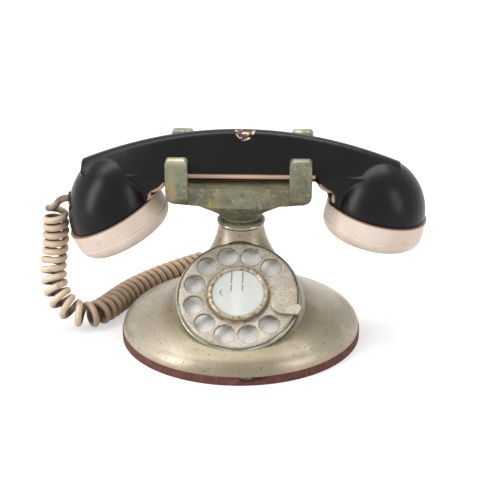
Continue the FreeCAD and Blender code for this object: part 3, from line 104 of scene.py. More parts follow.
# A finish is a base colour with layers over it. Each layer has a hex colour, an amount and a
# mask, which is a function of the tree and the place that gives a socket. It may also have its
# own roughness, and a depth in millimetres by which it is sunk.
def makeFinish(name, look):
    material = bpy.data.materials.new(name)
    material.use_nodes = True
    tree = material.node_tree
    shader = tree.nodes["Principled BSDF"]
    place = addNode(tree, "ShaderNodeTexCoord").outputs["Object"]
    colour, rough, bumps = linear(look["colour"]), look["rough"], []
    for layer in look.get("layers", ()):
        mask = overlap(tree, layer["mask"](tree, place), layer["amount"])
        colour = addNode(tree, "ShaderNodeMix", {0: mask, 6: colour, 7: linear(layer["hex"])},
                         data_type="RGBA").outputs[2]
        if "sink" in layer:
            bumps.append((mask, -layer["sink"]))
        if "rough" in layer:
            rough = addNode(tree, "ShaderNodeMix", {0: mask, 2: rough, 3: layer["rough"]},
                            data_type="FLOAT").outputs[0]
    values = {"Base Color": colour, "Roughness": rough, "Metallic": look.get("metal", 0.0),
              **look.get("shader", {})}
    for key, value in values.items():
        feed(tree, shader.inputs[key], value)
    for sizeMm, heightMm in look.get("grain", ()):  # fine unevenness: the size of a bump and its height
        bumps.append((speckle(tree, place, sizeMm, 0.25, 0.75, 3.0), heightMm))
    normal = None
    for mask, heightMm in bumps:
        settings = {"Height": mask, "Distance": abs(heightMm) * mm, "Strength": 1.0}
        if normal is not None:
            settings["Normal"] = normal
        normal = addNode(tree, "ShaderNodeBump", settings, invert=heightMm < 0).outputs[0]
    if normal is not None:
        feed(tree, shader.inputs["Normal"], normal)
    return material


# Where wear, dirt and painted shade begin and where they are full, in millimetres: heights, places along an
# axis and distances from the dial's axis
stainsAndShade = {"cordOnTable": (-106.0, -88.0), "capSeam": (0.9, 0.2), "holeRim": (7.3, 6.4),
          "shadeRoundCard": (21.4, 19.6), "shadeBesideDial": (54.0, 41.0), "shadeUnderDial": (44.0, 20.0),
          "footFront": (-48.0, -60.0)}


def wornEdges(tree, place):  # the mesh's own measure of its worn edges, broken up by noise
    edge = addNode(tree, "ShaderNodeAttribute", attribute_name="edgeWear").outputs["Fac"]
    return overlap(tree, edge, speckle(tree, place, 5.0, 0.12, 0.38, 4.0))


def cordDustAndShade(tree, place):  # dust and painted shade on the inner side of the cord's turns, thicker in places
    inside = addNode(tree, "ShaderNodeAttribute", attribute_name="inside").outputs["Fac"]
    return overlap(tree, inside, speckle(tree, place, 9.0, 0.10, 0.60, 3.0))


def cordShade(tree, place):  # painted shade: the stretch that lies on the table behind the foot is darker and browner
    across = addNode(tree, "ShaderNodeSeparateXYZ", {0: place}).outputs[0]
    return overlap(tree, fade(tree, across, *stainsAndShade["cordOnTable"]),
                   speckle(tree, place, 12.0, 0.05, 0.50, 3.0))


def stainAndSheenBand(low, high, sizeMm):  # a band of colour between two heights, in millimetres, broken up by noise; it gives a stain and painted highlights
    def mask(tree, place):
        height = addNode(tree, "ShaderNodeSeparateXYZ", {0: place}).outputs[2]
        soft = (high - low) * 0.3
        return overlap(tree, fade(tree, height, low - soft, low + soft),
                       fade(tree, height, high + soft, high - soft),
                       speckle(tree, place, sizeMm, 0.40, 0.60, 3.0))
    return mask


# Each cap's own frame: the middle of its seam with the shell, in millimetres, and its turn about Y
caps = [((-80.8, 15.0, 78.8), 151.7), ((86.1, 15.0, 82.1), 193.0)]


def capSeam(tree, place):  # brown dirt in the corner where a cap meets the black shell
    seams = []
    for middle, turn in caps:
        settings = {"Vector": place, "Location": [v * mm for v in middle],
                    "Rotation": (0.0, math.radians(turn), 0.0)}
        local = addNode(tree, "ShaderNodeMapping", settings, vector_type="TEXTURE").outputs[0]
        height = addNode(tree, "ShaderNodeSeparateXYZ", {0: local}).outputs[2]
        seams.append(fade(tree, height, *stainsAndShade["capSeam"]))
    return merged(tree, *seams)


# Chips out of the handset: the middle of each and its half width, in millimetres
chips = [((3.0, 14.0, 132.0), 6.8), ((20.5, 9.0, 130.5), 0.9), ((-84.0, 10.0, 118.0), 1.2)]


def chipSpots(tree, place, share):
    found = []
    for middle, reach in chips:
        back = [-v * mm for v in middle]
        shifted = addNode(tree, "ShaderNodeVectorMath", {0: place, 1: back}, operation="ADD").outputs[0]
        away = addNode(tree, "ShaderNodeVectorMath", {0: shifted}, operation="LENGTH").outputs["Value"]
        found.append(fade(tree, away, reach * share, reach * share * 0.85))
    return merged(tree, *found)


def chipped(tree, place):  # the brown inside of a chip
    return overlap(tree, chipSpots(tree, place, 0.86), speckle(tree, place, 3.4, 0.42, 0.50, 4.0))


def chipRims(tree, place):  # the pale broken edge round it
    return overlap(tree, chipSpots(tree, place, 1.0), speckle(tree, place, 2.6, 0.46, 0.54, 4.0))


def dialPlace(tree, place):  # x and y in the dial's own frame, in metres
    settings = {"Vector": place, "Location": [v * mm for v in dial["centre"]],
                "Rotation": (math.radians(dial["lean"]), 0.0, 0.0)}
    local = addNode(tree, "ShaderNodeMapping", settings, vector_type="TEXTURE").outputs[0]
    return addNode(tree, "ShaderNodeSeparateXYZ", {0: local}).outputs[:2]


def farFrom(tree, x, y, middle=(0.0, 0.0)):  # how far (x, y) is from a point that is given in millimetres
    shifts = [addNode(tree, "ShaderNodeMath", {0: part, 1: -v * mm}, operation="ADD").outputs[0]
              for part, v in zip((x, y), middle)]
    flat = addNode(tree, "ShaderNodeCombineXYZ", dict(enumerate(shifts))).outputs[0]
    return addNode(tree, "ShaderNodeVectorMath", {0: flat}, operation="LENGTH").outputs["Value"]


# A ring round each finger hole where the paint is rubbed off. The angle round the dial is taken
# from the middle of its own sector, so that one hole, on the x axis, stands for all of them.
def holeRims(tree, place):
    x, y = dialPlace(tree, place)
    reach = farFrom(tree, x, y)
    angle = addNode(tree, "ShaderNodeMath", {0: y, 1: x}, operation="ARCTAN2").outputs[0]
    step = math.radians(dial["holeStep"])
    turned = addNode(tree, "ShaderNodeMath", {0: angle, 1: 4 * math.pi}, operation="ADD").outputs[0]
    wrapped = addNode(tree, "ShaderNodeMath", {0: turned, 1: step}, operation="MODULO").outputs[0]
    centred = addNode(tree, "ShaderNodeMath", {0: wrapped, 1: -step / 2}, operation="ADD").outputs[0]
    ways = [addNode(tree, "ShaderNodeMath", {0: centred}, operation=part).outputs[0]
            for part in ("SINE", "COSINE")]
    across, outward = (addNode(tree, "ShaderNodeMath", {0: reach, 1: way}, operation="MULTIPLY").outputs[0]
                       for way in ways)
    rim = fade(tree, farFrom(tree, across, outward, (0.0, dial["holeCircle"])), *stainsAndShade["holeRim"])
    rightward = addNode(tree, "ShaderNodeMath", {0: angle}, operation="COSINE").outputs[0]
    blank = fade(tree, rightward, 0.90, 0.82, 1.0)  # no ring on the two sectors without a hole
    return overlap(tree, rim, blank, speckle(tree, place, 2.5, 0.30, 0.60, 3.0))


def shadeRoundCard(tree, place):  # painted shade: a darker ring on the wheel round the card's ring
    return overlap(tree, fade(tree, farFrom(tree, *dialPlace(tree, place)), *stainsAndShade["shadeRoundCard"]),
                   speckle(tree, place, 6.0, 0.25, 0.50, 3.0))


def shadeBesideDial(tree, place):  # painted shade: the housing is drawn darker beside the dial's ring
    return overlap(tree, fade(tree, farFrom(tree, *dialPlace(tree, place)), *stainsAndShade["shadeBesideDial"]),
                   speckle(tree, place, 24.0, 0.20, 0.55, 2.0))


def shadeUnderDial(tree, place):  # painted shade, darkest on the front of the foot, below the dial
    parts = addNode(tree, "ShaderNodeSeparateXYZ", {0: place})
    across = addNode(tree, "ShaderNodeMath", {0: parts.outputs[0]}, operation="ABSOLUTE").outputs[0]
    return overlap(tree, fade(tree, across, *stainsAndShade["shadeUnderDial"]),
                   fade(tree, parts.outputs[1], *stainsAndShade["footFront"]))


# Two thin pencil lines and a crescent scratch on the card, in millimetres. A line is a place
# across and where it starts and ends; both lines have one break. The crescent is a disc less
# the same disc shifted.
marks = {"lines": [(-4.3, 1.6, 15.4), (2.6, 1.6, 15.4)], "width": 0.6, "tip": 0.3, "break": (6.2, 7.0),
         "breakTip": 0.2, "crescent": (-9.2, 0.4), "radius": 2.4, "shift": 0.9, "soft": 0.25, "stripEdge": 0.7}


def cardMarks(tree, place):
    x, y = dialPlace(tree, place)
    lines = []
    for middle, low, high in marks["lines"]:
        off = addNode(tree, "ShaderNodeMath", {0: x, 1: -middle * mm}, operation="ADD").outputs[0]
        off = addNode(tree, "ShaderNodeMath", {0: off}, operation="ABSOLUTE").outputs[0]
        lines.append(overlap(tree, fade(tree, off, marks["width"], marks["width"] * 0.5),
                             fade(tree, y, low, low + marks["tip"]), fade(tree, y, high, high - marks["tip"])))
    low, high = marks["break"]
    gap = merged(tree, fade(tree, y, low, low - marks["breakTip"]),
                 fade(tree, y, high, high + marks["breakTip"]))
    across, up = marks["crescent"]
    disc, shifted = (farFrom(tree, x, y, (across + shift, up)) for shift in (0.0, marks["shift"]))
    radius, inner = marks["radius"], marks["radius"] - marks["soft"]
    crescent = overlap(tree, fade(tree, disc, radius, inner), fade(tree, shifted, inner, radius))
    return merged(tree, overlap(tree, merged(tree, *lines), gap), crescent)


def betweenLines(tree, place):  # the strip of card between the two lines is lighter
    x = dialPlace(tree, place)[0]
    left, right = (line[0] for line in marks["lines"])
    return overlap(tree, fade(tree, x, left, left + marks["stripEdge"]),
                   fade(tree, x, right, right - marks["stripEdge"]))


looks = {
    # Cast zinc under a champagne lacquer with metal flake: soft sheen, tiny dark pits where it has gone
    "lacqueredCasting": {
        "colour": "#B4A998", "rough": 0.38, "metal": 0.50, "grain": [(0.5, 0.010), (9.0, 0.04)],
        "layers": [
            {"hex": "#8F876F", "mask": spots(38.0, 0.40, 0.66), "amount": 0.6},
            {"hex": "#C6BDAC", "mask": spots(17.0, 0.50, 0.72), "amount": 0.5},
            {"hex": "#7B735C", "mask": spots(2.6, 0.55, 0.70, 4.0), "amount": 0.3},
            {"hex": "#B98F78", "mask": stainAndSheenBand(6.0, 8.2, 22.0), "amount": 0.5},
            # painted highlight: a copper-pink band on the neck under the bead
            {"hex": "#B58972", "mask": stainAndSheenBand(64.5, 68.5, 12.0), "amount": 0.4},
            # painted shade beside the dial's ring and on the foot below it
            {"hex": "#7E765D", "mask": shadeBesideDial, "amount": 0.65},
            {"hex": "#7C7359", "mask": shadeUnderDial, "amount": 0.7},
            {"hex": "#4E3E2C", "mask": spots(1.5, 0.645, 0.70, 3.0), "amount": 0.8, "sink": 0.05,
             "rough": 0.7}]},
    # The same lacquer on pressed steel, which has rusted in specks
    "lacqueredSteel": {
        "colour": "#B8AE9E", "rough": 0.42, "metal": 0.30, "grain": [(0.6, 0.02), (5.0, 0.03)],
        "layers": [
            {"hex": "#948B78", "mask": spots(14.0, 0.42, 0.65), "amount": 0.6},
            {"hex": "#C4BCAD", "mask": spots(5.0, 0.52, 0.70), "amount": 0.5},
            # painted shade round the card's ring
            {"hex": "#675C46", "mask": shadeRoundCard, "amount": 0.8, "rough": 0.55},
            {"hex": "#6E5B45", "mask": holeRims, "amount": 0.8, "rough": 0.6},
            {"hex": "#7E6C54", "mask": spots(1.3, 0.54, 0.66, 4.0), "amount": 0.45},
            {"hex": "#5A4836", "mask": spots(1.0, 0.60, 0.68, 3.0), "amount": 0.8, "sink": 0.04,
             "rough": 0.75}]},
    # The card's ring: the lacquer worn to brass in flecks, brown where it has tarnished
    "wornCardRing": {
        "colour": "#A2977F", "rough": 0.38, "metal": 0.45, "grain": [(0.8, 0.03)],
        "layers": [
            {"hex": "#6B5334", "mask": spots(2.4, 0.50, 0.62, 4.0), "amount": 0.75},
            {"hex": "#DDD2BC", "mask": spots(1.8, 0.56, 0.66, 4.0), "amount": 0.7},
            {"hex": "#4B4532", "mask": spots(1.2, 0.64, 0.70, 3.0), "amount": 0.7}]},
    # Brass under a thinning grey-green lacquer: dull, streaked, yellow where hands rub it
    "patinatedBrass": {
        "colour": "#67634D", "rough": 0.40, "metal": 0.55, "grain": [(0.8, 0.02), (6.0, 0.05)],
        "layers": [
            {"hex": "#7F7F69", "mask": spots(20.0, 0.42, 0.62), "amount": 0.7},
            {"hex": "#7F8570", "mask": stainAndSheenBand(107.0, 134.0, 60.0), "amount": 0.6},
            {"hex": "#959A84", "mask": spots(2.4, 0.52, 0.68, 5.0), "amount": 0.5},
            # painted highlight: a cream band along the prongs' tops
            {"hex": "#C2BB9E", "mask": stainAndSheenBand(121.5, 130.0, 30.0), "amount": 0.7},
            {"hex": "#565443", "mask": spots(7.0, 0.50, 0.70, 4.0), "amount": 0.6},
            {"hex": "#A08C5C", "mask": spots(9.0, 0.52, 0.68, 4.0, stretch=(1.0, 1.0, 0.25)),
             "amount": 0.55, "rough": 0.30},
            {"hex": "#2F2A20", "mask": spots(1.4, 0.62, 0.70), "amount": 0.6, "sink": 0.04}]},
    # Nickel plate gone a little yellow, with fine scratches
    "agedNickel": {
        "colour": "#9C9888", "rough": 0.25, "metal": 1.0, "grain": [(0.7, 0.008)],
        "layers": [
            {"hex": "#6E6857", "mask": spots(3.0, 0.50, 0.70, 4.0), "amount": 0.6, "rough": 0.45}]},
    # Bakelite, moulded black and polished, browned and chipped at its sharp edges
    "blackBakelite": {
        "colour": "#0C0B0B", "rough": 0.30, "grain": [(0.5, 0.006), (12.0, 0.06)],
        "shader": {"IOR": 1.5, "Specular IOR Level": 0.20},
        "layers": [
            {"hex": "#141312", "mask": spots(25.0, 0.40, 0.70), "amount": 0.7},
            {"hex": "#2E2B28", "mask": spots(0.8, 0.66, 0.74), "amount": 0.35, "rough": 0.5},
            {"hex": "#E0BBA8", "mask": wornEdges, "amount": 0.95, "rough": 0.5},
            {"hex": "#D9C4AF", "mask": chipRims, "amount": 0.95, "rough": 0.6},
            {"hex": "#4A3226", "mask": chipped, "amount": 0.9, "rough": 0.6, "sink": 0.15}]},
    # Moulded urea plastic, ivory with a pink cast, dull from handling
    "ivoryUrea": {
        "colour": "#DCC9BA", "rough": 0.42, "grain": [(0.6, 0.008)],
        "shader": {"IOR": 1.5, "Subsurface Weight": 0.06, "Subsurface Radius": (0.004, 0.003, 0.002)},
        "layers": [
            {"hex": "#E9DACC", "mask": spots(22.0, 0.42, 0.64), "amount": 0.6},
            {"hex": "#B79D88", "mask": spots(3.5, 0.60, 0.76, 4.0), "amount": 0.35},
            {"hex": "#7A5640", "mask": capSeam, "amount": 0.85},
            {"hex": "#8C735F", "mask": spots(1.2, 0.70, 0.76), "amount": 0.5}]},
    # Rubberised cord cover, cream once, browned by dust and painted shade between its turns
    "creamCordCover": {
        "colour": "#CDB69C", "rough": 0.52, "grain": [(0.7, 0.02)],
        "shader": {"IOR": 1.5, "Subsurface Weight": 0.05, "Subsurface Radius": (0.003, 0.002, 0.001)},
        "layers": [
            {"hex": "#DCCBB4", "mask": spots(14.0, 0.42, 0.62), "amount": 0.7},
            {"hex": "#8F765A", "mask": spots(6.0, 0.55, 0.72, 4.0), "amount": 0.55},
            # painted shade on the stretch behind the foot
            {"hex": "#94785A", "mask": cordShade, "amount": 0.65},
            # dust and painted shade on the inner side of the turns
            {"hex": "#5F4832", "mask": cordDustAndShade, "amount": 0.95, "rough": 0.8},
            {"hex": "#5E4A35", "mask": spots(1.6, 0.66, 0.76, 4.0), "amount": 0.5}]},
    # Chrome-tanned leather board, red-brown and dry, with its skin scuffed
    "leatherBoard": {
        "colour": "#5A342C", "rough": 0.85, "grain": [(0.7, 0.10), (3.0, 0.10)],
        "layers": [
            {"hex": "#7B4C40", "mask": spots(3.0, 0.45, 0.65, 4.0), "amount": 0.7},
            {"hex": "#3D1F1A", "mask": spots(1.4, 0.58, 0.70, 4.0), "amount": 0.7}]},
    # Mild steel sheet with a grey-blue mill skin
    "millSteel": {
        "colour": "#7C828A", "rough": 0.50, "metal": 0.70, "grain": [(0.8, 0.015)],
        "layers": [
            {"hex": "#4C4A48", "mask": spots(5.0, 0.45, 0.68, 4.0), "amount": 0.6}]},
    # The base plate's rolled sheet, blue-grey and greasy, seen through the tear in the pad
    "rolledSheet": {
        "colour": "#98A3A8", "rough": 0.45, "metal": 0.15, "grain": [(0.8, 0.015)],
        "layers": [
            {"hex": "#6E7A80", "mask": spots(5.0, 0.45, 0.68, 4.0), "amount": 0.5}]},
    # Turned brass, pale and bright with a dull bloom
    "turnedBrass": {
        "colour": "#B08D4C", "rough": 0.30, "metal": 1.0, "grain": [(0.5, 0.006)],
        "layers": [
            {"hex": "#7D6433", "mask": spots(4.0, 0.48, 0.70, 3.0), "amount": 0.5, "rough": 0.45}]},
    # Vulcanised fibre board, brown and matt
    "vulcanFibre": {
        "colour": "#5C3420", "rough": 0.70, "grain": [(0.9, 0.03)],
        "layers": [
            {"hex": "#472616", "mask": spots(2.5, 0.45, 0.65), "amount": 0.6}]},
    # Enamelled plate behind the holes, pale grey and glossy
    "paleEnamel": {
        "colour": "#F0EEEA", "rough": 0.25, "grain": [(3.0, 0.01)],
        "layers": [
            {"hex": "#D2CFC9", "mask": spots(12.0, 0.42, 0.66), "amount": 0.6},
            {"hex": "#8C8276", "mask": spots(2.2, 0.60, 0.74, 4.0), "amount": 0.4}]},
    # Card stock, greyed
    "agedCard": {
        "colour": "#BFC2BC", "rough": 0.80, "grain": [(0.5, 0.01)],
        "layers": [
            {"hex": "#ACB1AB", "mask": spots(9.0, 0.42, 0.64), "amount": 0.4},
            {"hex": "#CDD0CA", "mask": betweenLines, "amount": 0.6},
            {"hex": "#1F2220", "mask": cardMarks, "amount": 1.0}]},
    # Celluloid window, clear with a faint yellow
    "clearCelluloid": {
        "colour": "#F6F7F3", "rough": 0.12, "shader": {"Alpha": 0.14, "IOR": 1.5}},
    # Moulded black rubber
    "blackRubber": {
        "colour": "#1E1B18", "rough": 0.75, "grain": [(0.6, 0.02)],
        "layers": [
            {"hex": "#3A332B", "mask": spots(3.0, 0.50, 0.70), "amount": 0.5}]},
}
finishes = {name: makeFinish(name, look) for name, look in looks.items()}
print("finishes made:", len(finishes))

nodeFinish = {
    "lacqueredCasting": ["base_housing"],
    "lacqueredSteel": ["finger_wheel", "finger_stop"],
    "wornCardRing": ["card_ring"],
    "patinatedBrass": ["cradle"],
    "agedNickel": ["neck_collar", "dial_ring", "hook_plunger", "card_pan", "impulse_springs", "switch_springs",
                   "transmitter_contact", "receiver_contact"],
    "blackBakelite": ["handset_body"],
    "ivoryUrea": ["transmitter_cap", "receiver_cap"],
    "creamCordCover": ["curly_cord"],
    "leatherBoard": ["base_pad"],
    "rolledSheet": ["base_plate"],
    "millSteel": ["base_plate_screws", "dial_frame", "dial_clamp_screws", "main_shaft", "impulse_arbor",
                  "return_spring", "governor_pinion", "governor_arbor", "governor_arm", "plunger_spring",
                  "switch_bracket", "switch_pivot", "hook_lever", "transmitter_capsule", "receiver_capsule"],
    "turnedBrass": ["mechanism_back_plate", "main_bush", "mechanism_pillars", "wheel_nut", "main_gear",
                    "impulse_pinion", "governor_wheel", "spring_barrel", "barrel_post", "governor_cup",
                    "governor_cup_post", "governor_weights", "plunger_bush", "terminal_screws"],
    "vulcanFibre": ["impulse_cam", "impulse_insulators", "switch_insulators", "terminal_strip"],
    "paleEnamel": ["number_plate"],
    "agedCard": ["dial_card"],
    "clearCelluloid": ["card_window"],
    "blackRubber": ["cord_grommet", "cord_bushing"],
}


def dress(piece, finish):
    piece.data.materials.clear()
    piece.data.materials.append(finishes[finish])


for finishName, members in nodeFinish.items():
    for member in members:
        dress(nodes[member], finishName)
undressed = set(nodes) - {member for members in nodeFinish.values() for member in members}
print("nodes without a finish:", sorted(undressed))


def newPiece(name, vertices, faces, finish, smooth=True):
    mesh = bpy.data.meshes.new(name)
    mesh.from_pydata(np.asarray(vertices).tolist(), [], faces if isinstance(faces, list) else faces.tolist())
    mesh.update()
    piece = bpy.data.objects.new(name, mesh)
    bpy.context.scene.collection.objects.link(piece)
    dress(piece, finish)
    if smooth:
        mesh.polygons.foreach_set("use_smooth", np.ones(len(mesh.polygons), bool))
    return piece


# Quads between rows of points; in a closed grid the last column joins the first
def gridFaces(rows, columns, closed):
    row, column = np.meshgrid(np.arange(rows - 1), np.arange(columns if closed else columns - 1), indexing="ij")
    after = (column + 1) % columns
    low, high = row * columns, (row + 1) * columns
    return np.stack([low + column, low + after, high + after, high + column], axis=-1).reshape(-1, 4)


def capped(faces, rows, around):  # a closed grid's quads as a list, with one face over its first and last rows
    last = (rows - 1) * around
    return faces.tolist() + [list(range(around))[::-1], list(range(last, last + around))]


# The line's direction at each point and two sides square to it. Each side is the one before,
# less its part along the line, so the frame turns as little as can be.
def framesAlong(line, side):
    ways = np.gradient(line, axis=0)
    ways /= np.linalg.norm(ways, axis=1)[:, None]
    sides = []
    for way in ways:
        side = side - way * side.dot(way)
        side /= np.linalg.norm(side)
        sides.append(side)
    sides = np.array(sides)
    return ways, sides, np.cross(ways, sides)


# A tube along a line of points: the point plus the radius times (side cos t + other side sin t)
# for a turn t from 0 to 360 degrees, with a flat cap at both ends.
def tubeAlong(line, radius, around):
    _, sides, others = framesAlong(line, np.cross(line[1] - line[0], (0.0, 0.0, 1.0)))
    turn = np.linspace(0, 2 * math.pi, around, endpoint=False)
    rings = line[:, None] + radius * (sides[:, None] * np.cos(turn)[None, :, None]
                                      + others[:, None] * np.sin(turn)[None, :, None])
    return rings.reshape(-1, 3), capped(gridFaces(len(line), around, True), len(line), around)


# The curly cord: its wire winds round a smooth route from the mouth end of the handset
# down to the table and round the foot to the grommet at the back. Wire and coil are radii, and
# lead and tail are the straight lengths at its ends, in millimetres.
cord = {"wire": 2.2, "around": 14, "coil": 6.5, "pitch": 5.3, "ramp": 14.0, "tail": 34.0, "lead": 4.6,
        "step": 0.25, "wireStep": 1.1, "bendSteps": 24, "spread": 1.05, "leastSpread": 0.25,
        "startTurning": 1.3,
        "route": [(-109.4, 15.0, 86.2), (-114.9, 15.0, 85.9), (-118.8, 15.2, 80.0), (-118.6, 15.0, 67.0),
                  (-119.4, 14.4, 53.0), (-121.4, 12.0, 40.0), (-120.4, 7.4, 28.0), (-115.0, 2.6, 18.0),
                  (-105.6, 0.2, 11.6), (-95.8, 3.8, 9.1), (-88.6, 14.0, 8.8), (-82.0, 28.0, 8.8),
                  (-74.6, 41.8, 8.8), (-64.5, 55.0, 8.8), (-52.5, 67.5, 8.8), (-39.5, 79.5, 8.8),
                  (-26.0, 90.0, 8.8), (-13.0, 95.0, 9.2), (-3.0, 91.0, 10.0), (0.0, 80.4, 10.6),
                  (0.0, 74.4, 10.6)]}


def routeLine(points, name):  # points along the route's NURBS line, in metres
    curve = bpy.data.curves.new(name, "CURVE")
    curve.dimensions = "3D"
    curve.resolution_u = 40
    spline = curve.splines.new("NURBS")
    spline.points.add(len(points) - 1)
    for index, point in enumerate(points):
        spline.points[index].co = (point[0] * mm, point[1] * mm, point[2] * mm, 1.0)
    spline.order_u = 3
    spline.use_endpoint_u = True
    holder = bpy.data.objects.new(name, curve)
    mesh = bpy.data.meshes.new_from_object(holder)
    line = np.zeros(len(mesh.vertices) * 3)
    mesh.vertices.foreach_get("co", line)
    bpy.data.objects.remove(holder)
    bpy.data.meshes.remove(mesh)
    return line.reshape(-1, 3)


def evenly(line, step):  # the same line with points a steady step apart
    along = np.concatenate([[0.0], np.cumsum(np.linalg.norm(np.diff(line, axis=0), axis=1))])
    keep = np.concatenate([[True], np.diff(along) > 1e-9])
    where = np.linspace(0, along[-1], int(along[-1] / step) + 1)
    return np.stack([np.interp(where, along[keep], line[keep, axis]) for axis in range(3)], axis=1), where


# The wire's line is a helix round the route: the route's point plus the coil's radius times
# growth times (side cos t + other side sin t). Growth eases from 0 to 1 and back over the ramps
# at the ends, and t grows by a turn for each pitch. The pitch is longer where the route bends,
# so that the turns don't meet on the inside of the bend.
def windCord():
    line, along = evenly(routeLine(cord["route"], "cordRoute"), cord["step"] * mm)
    total = along[-1]
    ways, sides, others = framesAlong(line, np.array((0.0, -1.0, 0.0)))
    lead, ramp, tail = cord["lead"] * mm, cord["ramp"] * mm, cord["tail"] * mm
    inward = np.clip((along - lead) / ramp, 0, 1)
    outward = np.clip((total - tail - along) / ramp, 0, 1)
    growth = np.minimum(inward ** 2 * (3 - 2 * inward), outward ** 2 * (3 - 2 * outward))
    back = np.maximum(np.arange(len(line)) - cord["bendSteps"], 0)
    ahead = np.minimum(np.arange(len(line)) + cord["bendSteps"], len(line) - 1)
    angle = np.arccos(np.clip((ways[back] * ways[ahead]).sum(1), -1, 1))
    bend = angle / np.maximum(along[ahead] - along[back], 1e-9)
    pitch = cord["pitch"] * mm / np.maximum(1 - bend * cord["coil"] * mm * cord["spread"], cord["leastSpread"])
    rate = np.minimum(growth[1:] * cord["startTurning"], 1)
    turns = np.concatenate([[0], np.cumsum(np.diff(along) / pitch[1:] * rate)])
    turn = 2 * math.pi * turns[:, None]
    wound = line + (sides * np.cos(turn) + others * np.sin(turn)) * (cord["coil"] * mm * growth)[:, None]
    wire, wireAlong = evenly(wound, cord["wireStep"] * mm)
    vertices, faces = tubeAlong(wire, cord["wire"] * mm, cord["around"])
    piece = newPiece("curlyCord", vertices, faces, "creamCordCover")
    woundAlong = np.concatenate([[0.0], np.cumsum(np.linalg.norm(np.diff(wound, axis=0), axis=1))])
    middles = np.stack([np.interp(wireAlong, woundAlong, line[:, axis]) for axis in range(3)], axis=1)
    reach = np.linalg.norm(vertices - np.repeat(middles, cord["around"], axis=0), axis=1) / mm
    # 0 on the outer side of a turn, 1 on its inner side, where dust and painted shade lie
    inside = np.clip((cord["coil"] + 0.75 * cord["wire"] - reach) / cord["wire"], 0, 1)
    piece.data.attributes.new("inside", "FLOAT", "POINT").data.foreach_set("value", inside)
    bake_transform(piece)
    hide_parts("curly_cord")
    print("cord: %.0f mm of wire in %.1f turns, lowest %.2f mm" %
          (wireAlong[-1] * 1000, turns[-1], (wire[:, 2].min() - cord["wire"] * mm) * 1000))


windCord()


# The handset is one moulding, so its CAD solid is welded, remeshed evenly and eased, which
# rounds the edges and runs the domes into the grip. Voxel and weld are in millimetres.
moulding = {"voxel": 1.0, "ease": 0.5, "rounds": 3, "weld": 0.01}

# Where its edges are worn: how sharp a bend starts to wear and is fully worn, and the stretch of
# the grip where that counts, in millimetres. Below the arches' height a softer bend wears too.
edgeWear = {"low": 0.022, "high": 0.042, "passes": 2, "middle": 15.0, "across": 8.0, "above": 92.0,
            "reach": 60.0, "gripReach": 46.5, "archHeight": 104.5, "archShare": 0.6}


# How sharply the surface bends outwards at each vertex: the step from it to the mean of its
# neighbours, against the normal, then evened out with the neighbours' own
def wearEdges(mesh):
    count = len(mesh.vertices)
    points, normals = np.zeros(count * 3), np.zeros(count * 3)
    mesh.vertices.foreach_get("co", points)
    mesh.vertices.foreach_get("normal", normals)
    points, normals = points.reshape(-1, 3) / mm, normals.reshape(-1, 3)
    ends = np.zeros(len(mesh.edges) * 2, int)
    mesh.edges.foreach_get("vertices", ends)
    first, second = ends.reshape(-1, 2).T
    joined = np.bincount(first, minlength=count) + np.bincount(second, minlength=count)

    def neighbours(values):
        total = np.bincount(first, values[second], count) + np.bincount(second, values[first], count)
        return total / np.maximum(joined, 1)

    step = np.stack([neighbours(points[:, axis]) - points[:, axis] for axis in range(3)], axis=1)
    bend = -(step * normals).sum(axis=1)
    for _ in range(edgeWear["passes"]):
        bend = (bend + neighbours(bend)) / 2
    along, across, height = np.abs(points[:, 0]), np.abs(points[:, 1] - edgeWear["middle"]), points[:, 2]
    arch = height < edgeWear["archHeight"]
    low = np.where(arch, edgeWear["archShare"], 1.0) * edgeWear["low"]
    share = np.clip((bend - low) / (edgeWear["high"] - edgeWear["low"]), 0, 1)
    share *= (across > edgeWear["across"]) * (height > edgeWear["above"]) * (along < edgeWear["reach"])
    share *= (along < edgeWear["gripReach"]) | arch
    wear = mesh.attributes.new("edgeWear", "FLOAT", "POINT")
    wear.data.foreach_set("value", share)
    print("worn edge vertices:", int((share > 0.5).sum()), "bend up to %.3f" % bend.max())


def mouldHandset():
    mesh = nodes["handset_body"].data.copy()
    work = bmesh.new()
    work.from_mesh(mesh)
    bmesh.ops.remove_doubles(work, verts=work.verts, dist=moulding["weld"] * mm)
    work.to_mesh(mesh)
    work.free()
    mesh.name = "handsetMoulding"
    piece = bpy.data.objects.new("handsetMoulding", mesh)
    bpy.context.scene.collection.objects.link(piece)
    dress(piece, "blackBakelite")
    remesh = piece.modifiers.new("even", "REMESH")
    remesh.mode = "VOXEL"
    remesh.voxel_size = moulding["voxel"] * mm
    remesh.use_smooth_shade = True
    smooth = piece.modifiers.new("ease", "SMOOTH")
    smooth.factor = moulding["ease"]
    smooth.iterations = moulding["rounds"]
    graph = bpy.context.evaluated_depsgraph_get()
    done = bpy.data.meshes.new_from_object(piece.evaluated_get(graph))
    piece.modifiers.clear()
    piece.data = done
    done.polygons.foreach_set("use_smooth", np.ones(len(done.polygons), bool))
    wearEdges(done)
    dress(piece, "blackBakelite")
    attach(piece, "handset")
    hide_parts("handset_body")
    print("handset faces:", len(done.polygons))


mouldHandset()


# The finger wheel: twelve sectors of 30 degrees, ten with a hole, and a turned rim and hub that
# use the same angles. Radii and heights are in the dial's own frame, in millimetres.
wheel = {"inner": 16.5, "outer": 35.2, "bore": 2.52, "sheet": 1.6, "round": 1.2, "roundSteps": 7, "lip": 3.0,
         "lipWall": 1.2, "lipEdge": 0.15, "side": 14,
         "holeEdge": [(6.3, -1.25), (6.3, -0.45), (6.38, -0.20), (6.55, -0.05), (6.8, 0.0)]}


